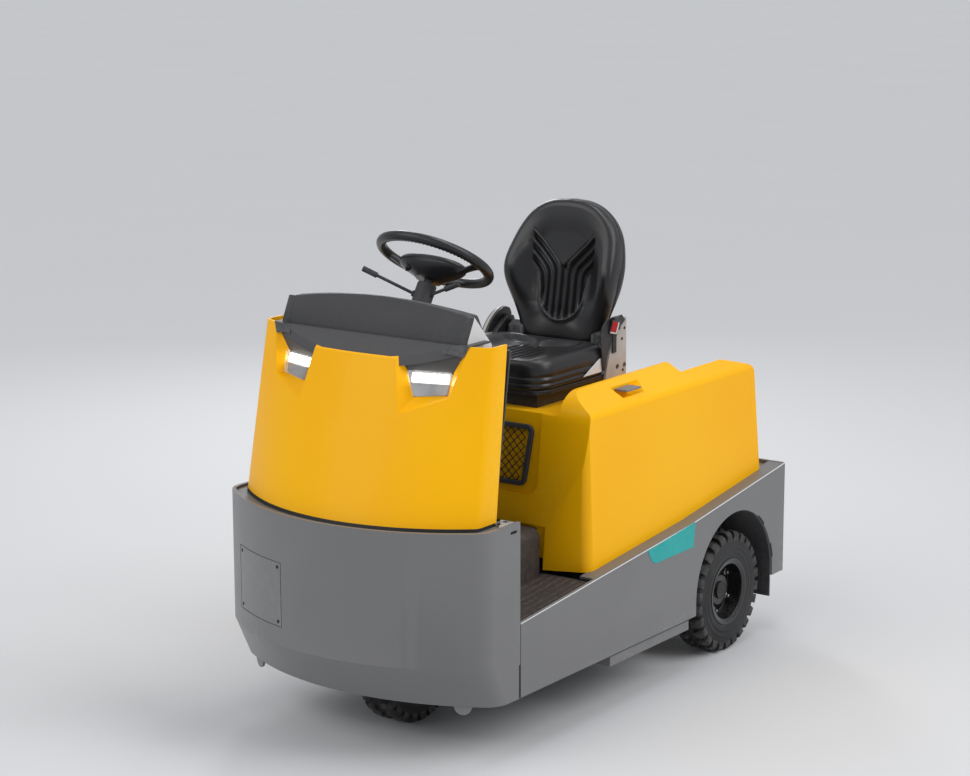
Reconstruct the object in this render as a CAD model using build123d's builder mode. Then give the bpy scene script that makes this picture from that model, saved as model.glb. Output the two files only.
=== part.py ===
"""Seated three-wheel electric tow tractor: one steered front wheel, two driven rear wheels.

Frame: millimetres, +Z up, the front faces -Y and +X is the vehicle's left. The origin lies on the
ground, midway between the front of the bumper and the end of the tow coupling.
"""
import math
import os

from build123d import *

# Overall
LENGTH = 2040.0
WIDTH = 990.0
FRONT_OVERHANG = 455.0
FOOTWELL = 405.0
COUPLING_REACH = 59.0
AXLE_TO_PANEL = 336.0
HALF = WIDTH / 2
FRONT_Y = -LENGTH / 2
PANEL_Y = LENGTH / 2 - COUPLING_REACH
REAR_AXLE_Y = PANEL_Y - AXLE_TO_PANEL
FRONT_AXLE_Y = FRONT_Y + FRONT_OVERHANG

# Clearances
SEAT_GAP = 0.3
RUN_GAP = 0.05
OPEN_GAP = 6.0

# Wheels
TYRE_R = 209.0
TYRE_W = 112.0
TYRE_SHOULDER = 12.0
LUG_COUNT = 26
LUG_DEPTH = 11.0
LUG_SPAN = 40.0
LUG_TAPER = 9.0
RIM_R = 107.0
RIM_WALL = 11.0
RIM_W = 100.0
RIM_DISC = 12.0
RIM_LIP = 5.0
RIM_DISH = 14.0
HUB_R = 52.0
HUB_W = 36.0
STUB_R = 30.0
WHEEL_INSET = 22.0
REAR_WHEEL_X = HALF - WHEEL_INSET - TYRE_W / 2

# Bumper
BUMPER_DEPTH = 358.0
BUMPER_WALL = 12.0
BUMPER_TOP_Z = 740.0
BUMPER_KINK_Z = 325.0
BUMPER_BOTTOM_Z = 190.0
BUMPER_BOW = 186.0
BUMPER_CORNER_R = 80.0
BUMPER_TUCK = 98.0
BUMPER_LOW_BOW = 152.0
BUMPER_BACK_Y = FRONT_Y + BUMPER_DEPTH
LIP = 8.0
FLANGE_T = 10.0
FLANGE_W = 75.0
LEDGE_Z = BUMPER_TOP_Z - LIP
HATCH_X = 223.0 - HALF
HATCH_Z = 485.0
HATCH_W = 240.0
HATCH_H = 200.0
HATCH_T = 3.0
HATCH_GAP = 2.5
GUSSET_LONG = 96.0
GUSSET_SLOT = 40.0
GUSSET_T = 6.0
TIE_LUG_X = HALF - 95.0
TIE_LUG_R = 27.0
TIE_LUG_T = 8.0
TIE_LUG_INSET = 3.0
SIDE_SLOT_W = 34.0
SIDE_SLOT_H = 9.0
SIDE_SLOT_DROP = 26.0
SIDE_SLOT_SETBACK = 34.0

# Cowl
COWL_SETBACK = 39.0
COWL_WALL = 8.0
COWL_TOP_Z = 1266.0
COWL_LEAN = 164.0
COWL_HALF = HALF - 48.0
COWL_TOP_HALF = HALF - 61.0
COWL_BOW = 170.0
COWL_TOP_BOW = 100.0
COWL_CREASE_R = 25.0
COWL_RETURN = 92.0
COWL_TOP_RETURN = 74.0
COWL_Y = FRONT_Y + COWL_SETBACK
BROW_Z = 1209.0
BROW_SLOPE = math.radians(34.0)
BROW_HALF = HALF - 126.0
BROW_T = 20.0
BROW_REACH = 300.0
BROW_Y = COWL_Y + COWL_LEAN * (BROW_Z - LEDGE_Z) / (COWL_TOP_Z - LEDGE_Z)

# Headlamps
LAMP_X = HALF - 242.0
LAMP_Z = 1150.0
LAMP_W = 146.0
LAMP_H = 78.0
LAMP_DEPTH = 40.0
LENS_T = 12.0
LAMP_RECESS = 24.0
LAMP_YAW = 17.4
LAMP_LEAN = 17.0
LAMP_SLANT = 28.0
LAMP_RISE = 10.0
LAMP_EDGE_R = 8.0
FUNNEL_WALL = 4.0
POCKET_TOP_X = LAMP_X - 115.0
POCKET_LOW_X = LAMP_X - 73.0
POCKET_LOW_Z = 1048.0
POCKET_OUT_X = LAMP_X + 82.0
POCKET_OUT_Z = 1115.0

# Dash
VISOR_HALF = HALF - 157.0
VISOR_BASE_Z = 1240.0
VISOR_SIDE_Z = 1346.0
VISOR_CROWN_Z = 1374.0
VISOR_TOP_T = 20.0
VISOR_RUN = 88.0
VISOR_RISE_Y = 45.0
CHEEK_T = 12.0
CHEEK_REAR_Z = 1251.0

# Steering
STEER_WHEEL_R = 190.0
STEER_TUBE_R = 13.5
STEER_RIM_SIDES = 12
STEER_WHEEL_Y = BUMPER_BACK_Y + 246.0
STEER_WHEEL_Z = 1444.0
STEER_TILT = math.radians(32.0)
STEER_DISH = 55.0
STEER_HUB_R = 44.0
STEER_HUB_H = 32.0
STEER_BOSS_HALF = 104.0
STEER_BOSS_H = 36.0
COLUMN_R = 31.0
COLUMN_LENGTH = 190.0
BOOT_H = 80.0
BOOT_FLARE = 12.0

# Floor
PLATFORM_Z = 600.0
PLATFORM_HALF = HALF - 203.0
PLATFORM_EDGE_R = 30.0
PLATE_T = 8.0
STEP_T = 12.0
RIB_COUNT = 6
RIB_W = 12.0
RIB_H = 4.0
RIB_MARGIN = 18.0

# Skirts
SKIRT_T = 10.0
SKIRT_BOTTOM_Z = 190.0
SKIRT_FRONT_Z = 426.0
SKIRT_KNEE_Y = PANEL_Y - 621.0
SKIRT_KNEE_Z = 519.0
SKIRT_REAR_Z = 603.0
SKIRT_TAIL_Z = 211.0
SKIRT_LEDGE = 60.0
ARCH_R = 258.0
ARCH_Z = 237.0
LINER_T = 6.0
SKIRT_EDGE_R = 9.0
FLAP_Z = 132.0
FLAP_W = 96.0

# Hood
HOOD_HALF = HALF - 45.0
HOOD_CREASE_HALF = HALF - 55.0
HOOD_WALL = 8.0
HOOD_CREASE_Z = 968.0
HOOD_RIDGE_HALF = HALF - 165.0
HOOD_RIDGE_Z = 1027.0
HOOD_TAIL = 97.0
HOOD_NOSE_R = 110.0
HOOD_FRONT_LEAN = 60.0
HOOD_TAIL_LEAN = 40.0
HOOD_SHOULDER = 43.0
HOOD_CREASE_R = 30.0
HOOD_TAIL_R = 40.0
HOOD_FALL = 430.0
HOOD_TAIL_Z = 965.0
DECK_Z = 955.0
SEAT_HALF = 230.0
WELL_MARGIN = 88.0
WELL_HALF = SEAT_HALF + WELL_MARGIN
WELL_RUN = 692.0
TRAY_HALF = HALF - 115.0
TRAY_DROP = 120.0
GRIP_X = HALF - 110.0
GRIP_W = 50.0
GRIP_RUN = 290.0
GRIP_LENGTH = 190.0
GRIP_Z = 962.0
PANEL_MARGIN = 24.0
PANEL_DEPTH = 8.0
PANEL_R = 44.0
HOOD_REAR_Y = PANEL_Y - HOOD_TAIL
HOOD_FRONT_Y = BUMPER_BACK_Y + FOOTWELL
HOOD_LENGTH = HOOD_REAR_Y - HOOD_FRONT_Y
WELL_BACK_Y = HOOD_FRONT_Y + WELL_RUN
HINGE_REACH = 26.0
HINGE_Y = HOOD_REAR_Y + HINGE_REACH
HINGE_Z = 627.0
HINGE_X = HALF - 245.0
HINGE_R = 8.0
HINGE_EAR = 22.0
HINGE_LEAF = 10.0
HINGE_EYE = 16.0

# Seat
SEAT_SETBACK = 83.0
SEAT_LENGTH = 409.0
SEAT_RISE = 57.0
SEAT_FRONT_Y = HOOD_FRONT_Y + SEAT_SETBACK
SEAT_REAR_Y = SEAT_FRONT_Y + SEAT_LENGTH
PAN_T = 14.0
PAN_EDGE = 12.0
PLINTH_INSET = 34.0
CUSHION_T = 105.0
CUSHION_CORNER_R = 60.0
CUSHION_EDGE_R = 30.0
CUSHION_Z = DECK_Z + SEAT_RISE
BACK_RISE = 73.0
BACK_H = 482.0
BACK_BOTTOM_Z = CUSHION_Z + BACK_RISE
BACK_TOP_Z = BACK_BOTTOM_Z + BACK_H
BACK_HALF = 203.0
BACK_FOOT_HALF = 128.0
BACK_WAIST_HALF = 146.0
BACK_WAIST_RISE = 75.0
BACK_WING_RISE = 232.0
BACK_SHOULDER_HALF = 150.0
BACK_SHOULDER_DROP = 58.0
BACK_T = 105.0
BACK_EDGE_R = 28.0
BACK_LEAN = 6.0
ARM_X = SEAT_HALF - 11.0
ARM_T = 14.0
ARM_FOOT = 60.0
ARM_REACH = 30.0
ARM_R = 26.0
ARM_Y = SEAT_REAR_Y + OPEN_GAP + BACK_T / 2
SHAFT_R = 12.0
SHAFT_Z = CUSHION_Z + 113.0
BRACKET_T = 10.0
BRACKET_FOOT_Z = DECK_Z + 30.0
BRACKET_H = 202.0
BRACKET_LENGTH = 125.0
BRACKET_BULGE = 27.0
BRACKET_HOLE_R = 9.0
GUARD_T = 28.0
GUARD_REACH = 230.0
GUARD_REAR = 20.0
GUARD_LOW_Z = CUSHION_Z + 48.0
GUARD_KNEE_Z = CUSHION_Z + 108.0
GUARD_CROWN_Z = CUSHION_Z + 183.0
GUARD_TIP_Z = CUSHION_Z + 138.0
GUARD_TIP_H = 30.0
GUARD_SAG = 55.0
STALK_T = 6.0
STALK_W = 24.0
STALK_Z = CUSHION_Z + 66.0
BUCKLE_W = 34.0
BUCKLE_H = 44.0
BUCKLE_T = 18.0
BUCKLE_Z = CUSHION_Z + 144.0
BUCKLE_SETBACK = 50.0

# Battery, axle and coupling
BATTERY_HALF = HALF - 95.0
BATTERY_GAP = 28.0
BATTERY_H = 627.0
AXLE_R = 55.0
RAIL_X = HALF - 195.0
RAIL_T = 14.0
COUPLING_HALF = 62.0
COUPLING_BORE_R = 16.0
COUPLING_PLATE_T = 18.0
COUPLING_BACK_T = 16.0
COUPLING_NOSE_R = 28.0
COUPLING_LEVELS = 4
COUPLING_PITCH = 70.0
COUPLING_LOW_Z = 245.0


def skirt_top(y):
    """Height of the skirts' top edge, which climbs gently towards the rear."""
    if y < SKIRT_KNEE_Y:
        share = (y - BUMPER_BACK_Y) / (SKIRT_KNEE_Y - BUMPER_BACK_Y)
        return SKIRT_FRONT_Z + share * (SKIRT_KNEE_Z - SKIRT_FRONT_Z)
    share = (y - SKIRT_KNEE_Y) / (PANEL_Y - SKIRT_KNEE_Y)
    return SKIRT_KNEE_Z + share * (SKIRT_REAR_Z - SKIRT_KNEE_Z)


def bow_radius(half, bow):
    """Radius of an arc that bulges by bow over a width of twice half."""
    return (half**2 + bow**2) / (2 * bow)


def nose_plan(front_y, bow, half, corner_r, back_y, inset=0.0):
    """Sketch of a rounded nose seen from above: a wide front arc and two straight sides."""
    arc_r = bow_radius(half, bow)
    reach = arc_r - inset
    side = half - inset
    end_y = front_y + arc_r - math.sqrt(reach**2 - side**2)
    with BuildSketch(mode=Mode.PRIVATE) as plan:
        with BuildLine():
            ThreePointArc((-side, end_y), (0, front_y + inset), (side, end_y))
            Polyline((side, end_y), (side, back_y), (-side, back_y), (-side, end_y))
        make_face()
        fillet(plan.vertices().sort_by(Axis.Y)[:2], corner_r - inset)
    return plan.sketch


def bumper_plan(inset=0.0, back_y=BUMPER_BACK_Y):
    return nose_plan(FRONT_Y, BUMPER_BOW, HALF, BUMPER_CORNER_R, back_y, inset)


def bumper_low_plan(inset=0.0, back_y=BUMPER_BACK_Y):
    return nose_plan(FRONT_Y + BUMPER_TUCK, BUMPER_LOW_BOW, HALF, BUMPER_CORNER_R, back_y, inset)


def access_slab(depth, margin):
    """Curved slab in the bumper's outer face, grown by a margin all round."""
    with BuildPart(mode=Mode.PRIVATE) as slab:
        with BuildSketch(Plane.XY.offset(HATCH_Z - HATCH_H / 2 - margin)):
            add(bumper_plan())
            add(bumper_plan(depth, BUMPER_BACK_Y + BUMPER_WALL), mode=Mode.SUBTRACT)
        extrude(amount=HATCH_H + 2 * margin)
        with BuildSketch(Plane.XY):
            with Locations((HATCH_X, FRONT_Y + BUMPER_DEPTH / 2)):
                Rectangle(HATCH_W + 2 * margin, BUMPER_DEPTH)
        extrude(amount=BUMPER_TOP_Z, mode=Mode.INTERSECT)
    return slab.part


def cowl_plan(inset=0.0, back_shift=0.0):
    back_y = COWL_Y + COWL_BOW + COWL_RETURN + back_shift
    return nose_plan(COWL_Y, COWL_BOW, COWL_HALF, COWL_CREASE_R, back_y, inset)


def cowl_top_plan(inset=0.0, back_shift=0.0):
    front_y = COWL_Y + COWL_LEAN
    back_y = front_y + COWL_TOP_BOW + COWL_TOP_RETURN + back_shift
    return nose_plan(front_y, COWL_TOP_BOW, COWL_TOP_HALF, COWL_CREASE_R, back_y, inset)


def cowl_face_y(x, z):
    """Where the cowl's front face lies at a given width and height."""
    share = (z - LEDGE_Z) / (COWL_TOP_Z - LEDGE_Z)
    low_r = bow_radius(COWL_HALF, COWL_BOW)
    high_r = bow_radius(COWL_TOP_HALF, COWL_TOP_BOW)
    low = low_r - math.sqrt(low_r**2 - x**2)
    high = high_r - math.sqrt(high_r**2 - x**2)
    return COWL_Y + COWL_LEAN * share + low + (high - low) * share


def side_plane(x):
    """Sketch plane facing +X: sketch x runs along Y and sketch y along Z."""
    return Plane(origin=(x, 0, 0), x_dir=(0, 1, 0), z_dir=(1, 0, 0))


def front_plane(y):
    """Sketch plane facing -Y: sketch x runs along X and sketch y along Z."""
    return Plane(origin=(0, y, 0), x_dir=(1, 0, 0), z_dir=(0, -1, 0))


def save(piece, name):
    piece.part.label = name
    export_step(piece.part, f"parts/{name}.step")


os.makedirs("parts", exist_ok=True)

# Front bumper: a bent plate, tucked in below a kink, with a lip above the ledge that carries the cowl
with BuildPart() as front_bumper:
    with BuildSketch(Plane.XY.offset(BUMPER_KINK_Z)):
        add(bumper_plan())
    extrude(amount=BUMPER_TOP_Z - BUMPER_KINK_Z)
    with BuildSketch(Plane.XY.offset(BUMPER_BOTTOM_Z)):
        add(bumper_low_plan())
    with BuildSketch(Plane.XY.offset(BUMPER_KINK_Z)):
        add(bumper_plan())
    loft()
    with BuildSketch(Plane.XY.offset(BUMPER_KINK_Z)):
        add(bumper_plan(BUMPER_WALL, BUMPER_BACK_Y + BUMPER_WALL))
    extrude(amount=BUMPER_TOP_Z - BUMPER_KINK_Z, mode=Mode.SUBTRACT)
    with BuildSketch(Plane.XY.offset(BUMPER_BOTTOM_Z)):
        add(bumper_low_plan(BUMPER_WALL, BUMPER_BACK_Y + BUMPER_WALL))
    with BuildSketch(Plane.XY.offset(BUMPER_KINK_Z)):
        add(bumper_plan(BUMPER_WALL, BUMPER_BACK_Y + BUMPER_WALL))
    loft(mode=Mode.SUBTRACT)
    with BuildSketch(Plane.XY.offset(LEDGE_Z - FLANGE_T)):
        add(bumper_plan(BUMPER_WALL / 2))
        add(bumper_plan(FLANGE_W, BUMPER_BACK_Y + FLANGE_W), mode=Mode.SUBTRACT)
    extrude(amount=FLANGE_T)
    add(access_slab(HATCH_T + SEAT_GAP, HATCH_GAP), mode=Mode.SUBTRACT)
    low_r = bow_radius(HALF, BUMPER_LOW_BOW)
    lug_turn = math.asin(TIE_LUG_X / low_r)
    lug_y = FRONT_Y + BUMPER_TUCK + low_r * (1 - math.cos(lug_turn))
    for side in (-1, 1):
        outward = Vector(side * math.sin(lug_turn), -math.cos(lug_turn), 0)
        lug_foot = Vector(side * TIE_LUG_X, lug_y, BUMPER_BOTTOM_Z) - outward * TIE_LUG_INSET
        with BuildSketch(Plane(origin=lug_foot, z_dir=outward)):
            Circle(TIE_LUG_R)
        extrude(amount=-TIE_LUG_T)
    with BuildSketch(side_plane(0)):
        with Locations((BUMPER_BACK_Y - SIDE_SLOT_SETBACK, BUMPER_TOP_Z - SIDE_SLOT_DROP)):
            SlotOverall(SIDE_SLOT_W, SIDE_SLOT_H)
    extrude(amount=HALF, both=True, mode=Mode.SUBTRACT)
save(front_bumper, "front_bumper")

# Access panel: a thin bent plate set flush into the bumper's right front
with BuildPart() as bumper_access_panel:
    add(access_slab(HATCH_T, 0.0))
save(bumper_access_panel, "bumper_access_panel")

# Corner plates: slotted gussets that tie the bumper's ledge to its ends
with BuildPart() as bumper_corner_plates:
    plate_x = HALF - BUMPER_WALL - SEAT_GAP
    with BuildSketch(Plane.XY.offset(LEDGE_Z)):
        with BuildLine():
            Polyline(
                (plate_x, BUMPER_BACK_Y + 2 * SEAT_GAP - OPEN_GAP),
                (plate_x, BUMPER_BACK_Y - GUSSET_LONG),
                (COWL_HALF + OPEN_GAP, BUMPER_BACK_Y - GUSSET_LONG / 2),
                (COWL_TOP_HALF - COWL_WALL, BUMPER_BACK_Y - OPEN_GAP),
                close=True,
            )
        make_face()
        with Locations(Location((plate_x - GUSSET_LONG / 3, BUMPER_BACK_Y - GUSSET_LONG / 4, 0), 35)):
            SlotOverall(GUSSET_SLOT, GUSSET_SLOT / 5, mode=Mode.SUBTRACT)
    extrude(amount=GUSSET_T)
    mirror(about=Plane.YZ)
save(bumper_corner_plates, "bumper_corner_plates")

# Lamp geometry: the lens plane follows the cowl's face, set back into a pocket
LAMP_Y = cowl_face_y(LAMP_X, LAMP_Z) + LAMP_RECESS
lamp_yaw = math.radians(LAMP_YAW)
lamp_lean = math.radians(LAMP_LEAN)
lamp_plane = Plane(
    origin=(LAMP_X, LAMP_Y, LAMP_Z),
    x_dir=(math.cos(lamp_yaw), math.sin(lamp_yaw), 0),
    z_dir=(
        math.sin(lamp_yaw) * math.cos(lamp_lean),
        -math.cos(lamp_yaw) * math.cos(lamp_lean),
        math.sin(lamp_lean),
    ),
)


def lens_outline(grow=0.0):
    """Lens seen from the front: a bar with a slanted inner end and a rising lower edge."""
    with BuildSketch(mode=Mode.PRIVATE) as outline:
        with BuildLine():
            Polyline(
                (-LAMP_W / 2, LAMP_H / 2),
                (LAMP_SLANT - LAMP_W / 2, -LAMP_H / 2),
                (LAMP_W / 2 - LAMP_SLANT / 2, LAMP_RISE - LAMP_H / 2),
                (LAMP_W / 2, LAMP_H / 2),
                close=True,
            )
        make_face()
        if grow > 0:
            offset(amount=grow, kind=Kind.INTERSECTION)
    return outline.sketch


def pocket_outline(grow=0.0):
    """Mouth of a lamp pocket, drawn on the lens plane's own axes."""
    corners = (
        (POCKET_TOP_X, COWL_TOP_Z),
        (POCKET_LOW_X, POCKET_LOW_Z),
        (POCKET_OUT_X, POCKET_OUT_Z),
        (BROW_HALF, COWL_TOP_Z),
    )
    local = [lamp_plane.to_local_coords(Vector(x, cowl_face_y(x, z), z)) for x, z in corners]
    with BuildSketch(mode=Mode.PRIVATE) as outline:
        with BuildLine():
            Polyline([(point.X, point.Y) for point in local], close=True)
        make_face()
        if grow > 0:
            offset(amount=grow, kind=Kind.INTERSECTION)
    return outline.sketch


def lamp_roof(drop):
    """Wedge above both lenses that takes in the roofs of their pockets."""
    pocket_corner = Vector(POCKET_TOP_X, cowl_face_y(POCKET_TOP_X, COWL_TOP_Z), COWL_TOP_Z)
    brow_corner = Vector(BROW_HALF, cowl_face_y(BROW_HALF, COWL_TOP_Z), COWL_TOP_Z)
    top_in = lamp_plane.to_local_coords(pocket_corner)
    top_out = lamp_plane.to_local_coords(brow_corner)
    with BuildPart(mode=Mode.PRIVATE) as roof:
        with BuildSketch(lamp_plane.offset(-LENS_T - LAMP_DEPTH)):
            with BuildLine():
                Polyline(
                    (-LAMP_W / 2, LAMP_H / 2 - drop),
                    (LAMP_W / 2, LAMP_H / 2 - drop),
                    (top_out.X, top_out.Y),
                    (top_in.X, top_in.Y),
                    close=True,
                )
            make_face()
        extrude(amount=LAMP_DEPTH + FLANGE_W)
        mirror(about=Plane.YZ)
    return roof.part


def lamp_funnel(wall):
    """Tapered pocket from the cowl's face in to the lens, on both sides."""
    with BuildPart(mode=Mode.PRIVATE) as funnel:
        with BuildSketch(lamp_plane.offset(LAMP_RECESS)):
            add(pocket_outline(wall))
        extrude(amount=FLANGE_W)
        with BuildSketch(lamp_plane.offset(LAMP_RECESS)):
            add(pocket_outline(wall))
        with BuildSketch(lamp_plane.offset(-LENS_T)):
            add(lens_outline(wall + SEAT_GAP))
        loft(ruled=True)
        mirror(about=Plane.YZ)
    return funnel.part


def above_brow(drop):
    """Everything above the brow's sloping plane, lowered by a drop."""
    rise = BROW_REACH * math.tan(BROW_SLOPE)
    with BuildPart(mode=Mode.PRIVATE) as space:
        with BuildSketch(side_plane(-BROW_HALF)):
            with BuildLine():
                Polyline(
                    (BROW_Y - BROW_REACH, BROW_Z - rise - drop),
                    (BROW_Y + BROW_REACH, BROW_Z + rise - drop),
                    (BROW_Y - BROW_REACH, BROW_Z + rise - drop),
                    close=True,
                )
            make_face()
        extrude(amount=2 * BROW_HALF)
    return space.part


def cowl_block(inset, back_shift):
    """Closed body inside the cowl's outline."""
    with BuildPart(mode=Mode.PRIVATE) as block:
        with BuildSketch(Plane.XY.offset(LEDGE_Z)):
            add(cowl_plan(inset, back_shift))
        with BuildSketch(Plane.XY.offset(COWL_TOP_Z)):
            add(cowl_top_plan(inset, back_shift))
        loft()
    return block.part


# Front cowl: a leaning shell on the bumper's ledge, with the brow cut away and two lamp pockets
shelf_drop = BROW_T / math.cos(BROW_SLOPE)
cowl_body = cowl_block(0.0, 0.0)
pocket_walls = (lamp_funnel(FUNNEL_WALL) & cowl_body) - above_brow(shelf_drop + SEAT_GAP) - lamp_roof(0.0)
with BuildPart() as front_cowl:
    add(cowl_body)
    add(cowl_block(COWL_WALL, COWL_WALL), mode=Mode.SUBTRACT)
    add(above_brow(0.0), mode=Mode.SUBTRACT)
    add(pocket_walls)
    add(lamp_funnel(0.0), mode=Mode.SUBTRACT)
save(front_cowl, "front_cowl")

# Dash shelf: the dark sloping brow between the cowl and the visor, drawn down to the lenses
SHELF_RUN = 100.0
shelf_rise = SHELF_RUN * math.tan(BROW_SLOPE)
with BuildPart() as dash_shelf:
    add(cowl_block(COWL_WALL + SEAT_GAP, 0.0))
    with BuildSketch(side_plane(SEAT_GAP - BROW_HALF)):
        with BuildLine():
            Polyline(
                (BROW_Y, BROW_Z),
                (BROW_Y + SHELF_RUN, BROW_Z + shelf_rise),
                (BROW_Y + SHELF_RUN, BROW_Z + shelf_rise - shelf_drop),
                (BROW_Y, BROW_Z - shelf_drop),
                close=True,
            )
        make_face()
    extrude(amount=2 * (BROW_HALF - SEAT_GAP), mode=Mode.INTERSECT)
    lens_roofs = lamp_funnel(FUNNEL_WALL) & lamp_roof(-SEAT_GAP) & cowl_block(COWL_WALL + SEAT_GAP, 0.0)
    add(lens_roofs - above_brow(shelf_drop / 2))
    add(lamp_funnel(0.0) - above_brow(shelf_drop), mode=Mode.SUBTRACT)
save(dash_shelf, "dash_shelf")

# Dash visor: an arched hump across the cowl's top, its rear face sloping to the driver
VISOR_Y = BROW_Y + SHELF_RUN
VISOR_TOP_Y = VISOR_Y + VISOR_RISE_Y
VISOR_REAR_Y = VISOR_TOP_Y + VISOR_RUN
VISOR_FOOT_Z = BROW_Z + shelf_rise
with BuildPart() as dash_visor:
    with BuildSketch(side_plane(-VISOR_HALF)):
        with BuildLine():
            Polyline(
                (VISOR_Y, VISOR_BASE_Z),
                (VISOR_Y, VISOR_FOOT_Z),
                (VISOR_TOP_Y, VISOR_CROWN_Z),
                (VISOR_TOP_Y + VISOR_TOP_T, VISOR_CROWN_Z),
                (VISOR_REAR_Y, CHEEK_REAR_Z),
                (VISOR_REAR_Y, VISOR_BASE_Z),
                close=True,
            )
        make_face()
    extrude(amount=2 * VISOR_HALF)
    with BuildSketch(front_plane(VISOR_REAR_Y)):
        with BuildLine():
            ThreePointArc(
                (-VISOR_HALF, VISOR_SIDE_Z), (0, VISOR_CROWN_Z), (VISOR_HALF, VISOR_SIDE_Z)
            )
            Polyline(
                (VISOR_HALF, VISOR_SIDE_Z),
                (VISOR_HALF, VISOR_BASE_Z),
                (-VISOR_HALF, VISOR_BASE_Z),
                (-VISOR_HALF, VISOR_SIDE_Z),
            )
        make_face()
    extrude(amount=VISOR_REAR_Y - VISOR_Y, mode=Mode.INTERSECT)
save(dash_visor, "dash_visor")

# Dash cheeks: pale triangular end plates of the visor
with BuildPart() as dash_cheeks:
    with BuildSketch(side_plane(VISOR_HALF)):
        with BuildLine():
            Polyline(
                (VISOR_Y, VISOR_FOOT_Z),
                (VISOR_TOP_Y, VISOR_SIDE_Z),
                (VISOR_REAR_Y, CHEEK_REAR_Z),
                (VISOR_REAR_Y, VISOR_BASE_Z),
                (VISOR_Y, VISOR_BASE_Z),
                close=True,
            )
        make_face()
    extrude(amount=CHEEK_T)
    mirror(about=Plane.YZ)
save(dash_cheeks, "dash_cheeks")

# Headlamps: a clear lens at the bottom of each pocket and a housing behind it
with BuildPart() as headlamp_lenses:
    with BuildSketch(lamp_plane):
        add(lens_outline())
        fillet(vertices(), LAMP_EDGE_R)
    extrude(amount=-LENS_T)
    mirror(about=Plane.YZ)
save(headlamp_lenses, "headlamp_lenses")

with BuildPart() as headlamp_housings:
    with BuildSketch(lamp_plane.offset(-LENS_T)):
        add(lens_outline())
        fillet(vertices(), LAMP_EDGE_R)
    extrude(amount=-LAMP_DEPTH)
    mirror(about=Plane.YZ)
save(headlamp_housings, "headlamp_housings")

# Knee panel: closes the cowl towards the driver and notches over the platform
KNEE_SETBACK = 28.0
KNEE_LOW_Y = BUMPER_BACK_Y - KNEE_SETBACK
KNEE_TOP_Y = VISOR_REAR_Y - PLATE_T
with BuildPart() as knee_panel:
    with BuildSketch(side_plane(-HALF)):
        with BuildLine():
            Polyline(
                (KNEE_LOW_Y, SKIRT_FRONT_Z),
                (KNEE_LOW_Y, BUMPER_TOP_Z),
                (KNEE_TOP_Y, VISOR_BASE_Z),
                (KNEE_TOP_Y + PLATE_T, VISOR_BASE_Z),
                (KNEE_LOW_Y + PLATE_T, BUMPER_TOP_Z),
                (KNEE_LOW_Y + PLATE_T, SKIRT_FRONT_Z),
                close=True,
            )
        make_face()
    extrude(amount=WIDTH)
    with BuildSketch(front_plane(VISOR_REAR_Y)):
        low_half = HALF - BUMPER_WALL - SEAT_GAP
        high_half = COWL_TOP_HALF - COWL_WALL - OPEN_GAP
        with BuildLine():
            Polyline(
                (PLATFORM_HALF + SEAT_GAP, SKIRT_FRONT_Z),
                (low_half, SKIRT_FRONT_Z),
                (low_half, LEDGE_Z - FLANGE_T - SEAT_GAP),
                (high_half, LEDGE_Z - FLANGE_T - SEAT_GAP),
                (high_half, VISOR_BASE_Z),
                (-high_half, VISOR_BASE_Z),
                (-high_half, LEDGE_Z - FLANGE_T - SEAT_GAP),
                (-low_half, LEDGE_Z - FLANGE_T - SEAT_GAP),
                (-low_half, SKIRT_FRONT_Z),
                (-PLATFORM_HALF - SEAT_GAP, SKIRT_FRONT_Z),
                (-PLATFORM_HALF - SEAT_GAP, PLATFORM_Z + SEAT_GAP),
                (PLATFORM_HALF + SEAT_GAP, PLATFORM_Z + SEAT_GAP),
                close=True,
            )
        make_face()
    extrude(amount=BUMPER_DEPTH, mode=Mode.INTERSECT)
save(knee_panel, "knee_panel")

# Steering column: a tilted shroud from the dash up to the steering wheel's hub
steer_axis = Vector(0, math.sin(STEER_TILT), math.cos(STEER_TILT))
steer_centre = Vector(0, STEER_WHEEL_Y, STEER_WHEEL_Z)
steer_plane = Plane(origin=steer_centre, x_dir=(1, 0, 0), z_dir=steer_axis)
HUB_BASE = -STEER_DISH - STEER_HUB_H / 2
with BuildPart() as steering_column:
    with BuildSketch(steer_plane.offset(HUB_BASE - OPEN_GAP)):
        Circle(COLUMN_R)
    extrude(amount=-COLUMN_LENGTH)
    boot_top = HUB_BASE - OPEN_GAP - COLUMN_LENGTH + BOOT_H
    with BuildSketch(steer_plane.offset(boot_top)):
        Circle(COLUMN_R)
    extrude(amount=-BOOT_H, taper=-BOOT_FLARE)
    with BuildSketch(steer_plane.offset(HUB_BASE - OPEN_GAP)):
        Circle(STEER_HUB_R / 3)
    extrude(amount=OPEN_GAP + STEER_HUB_H / 2)
save(steering_column, "steering_column")

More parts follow.
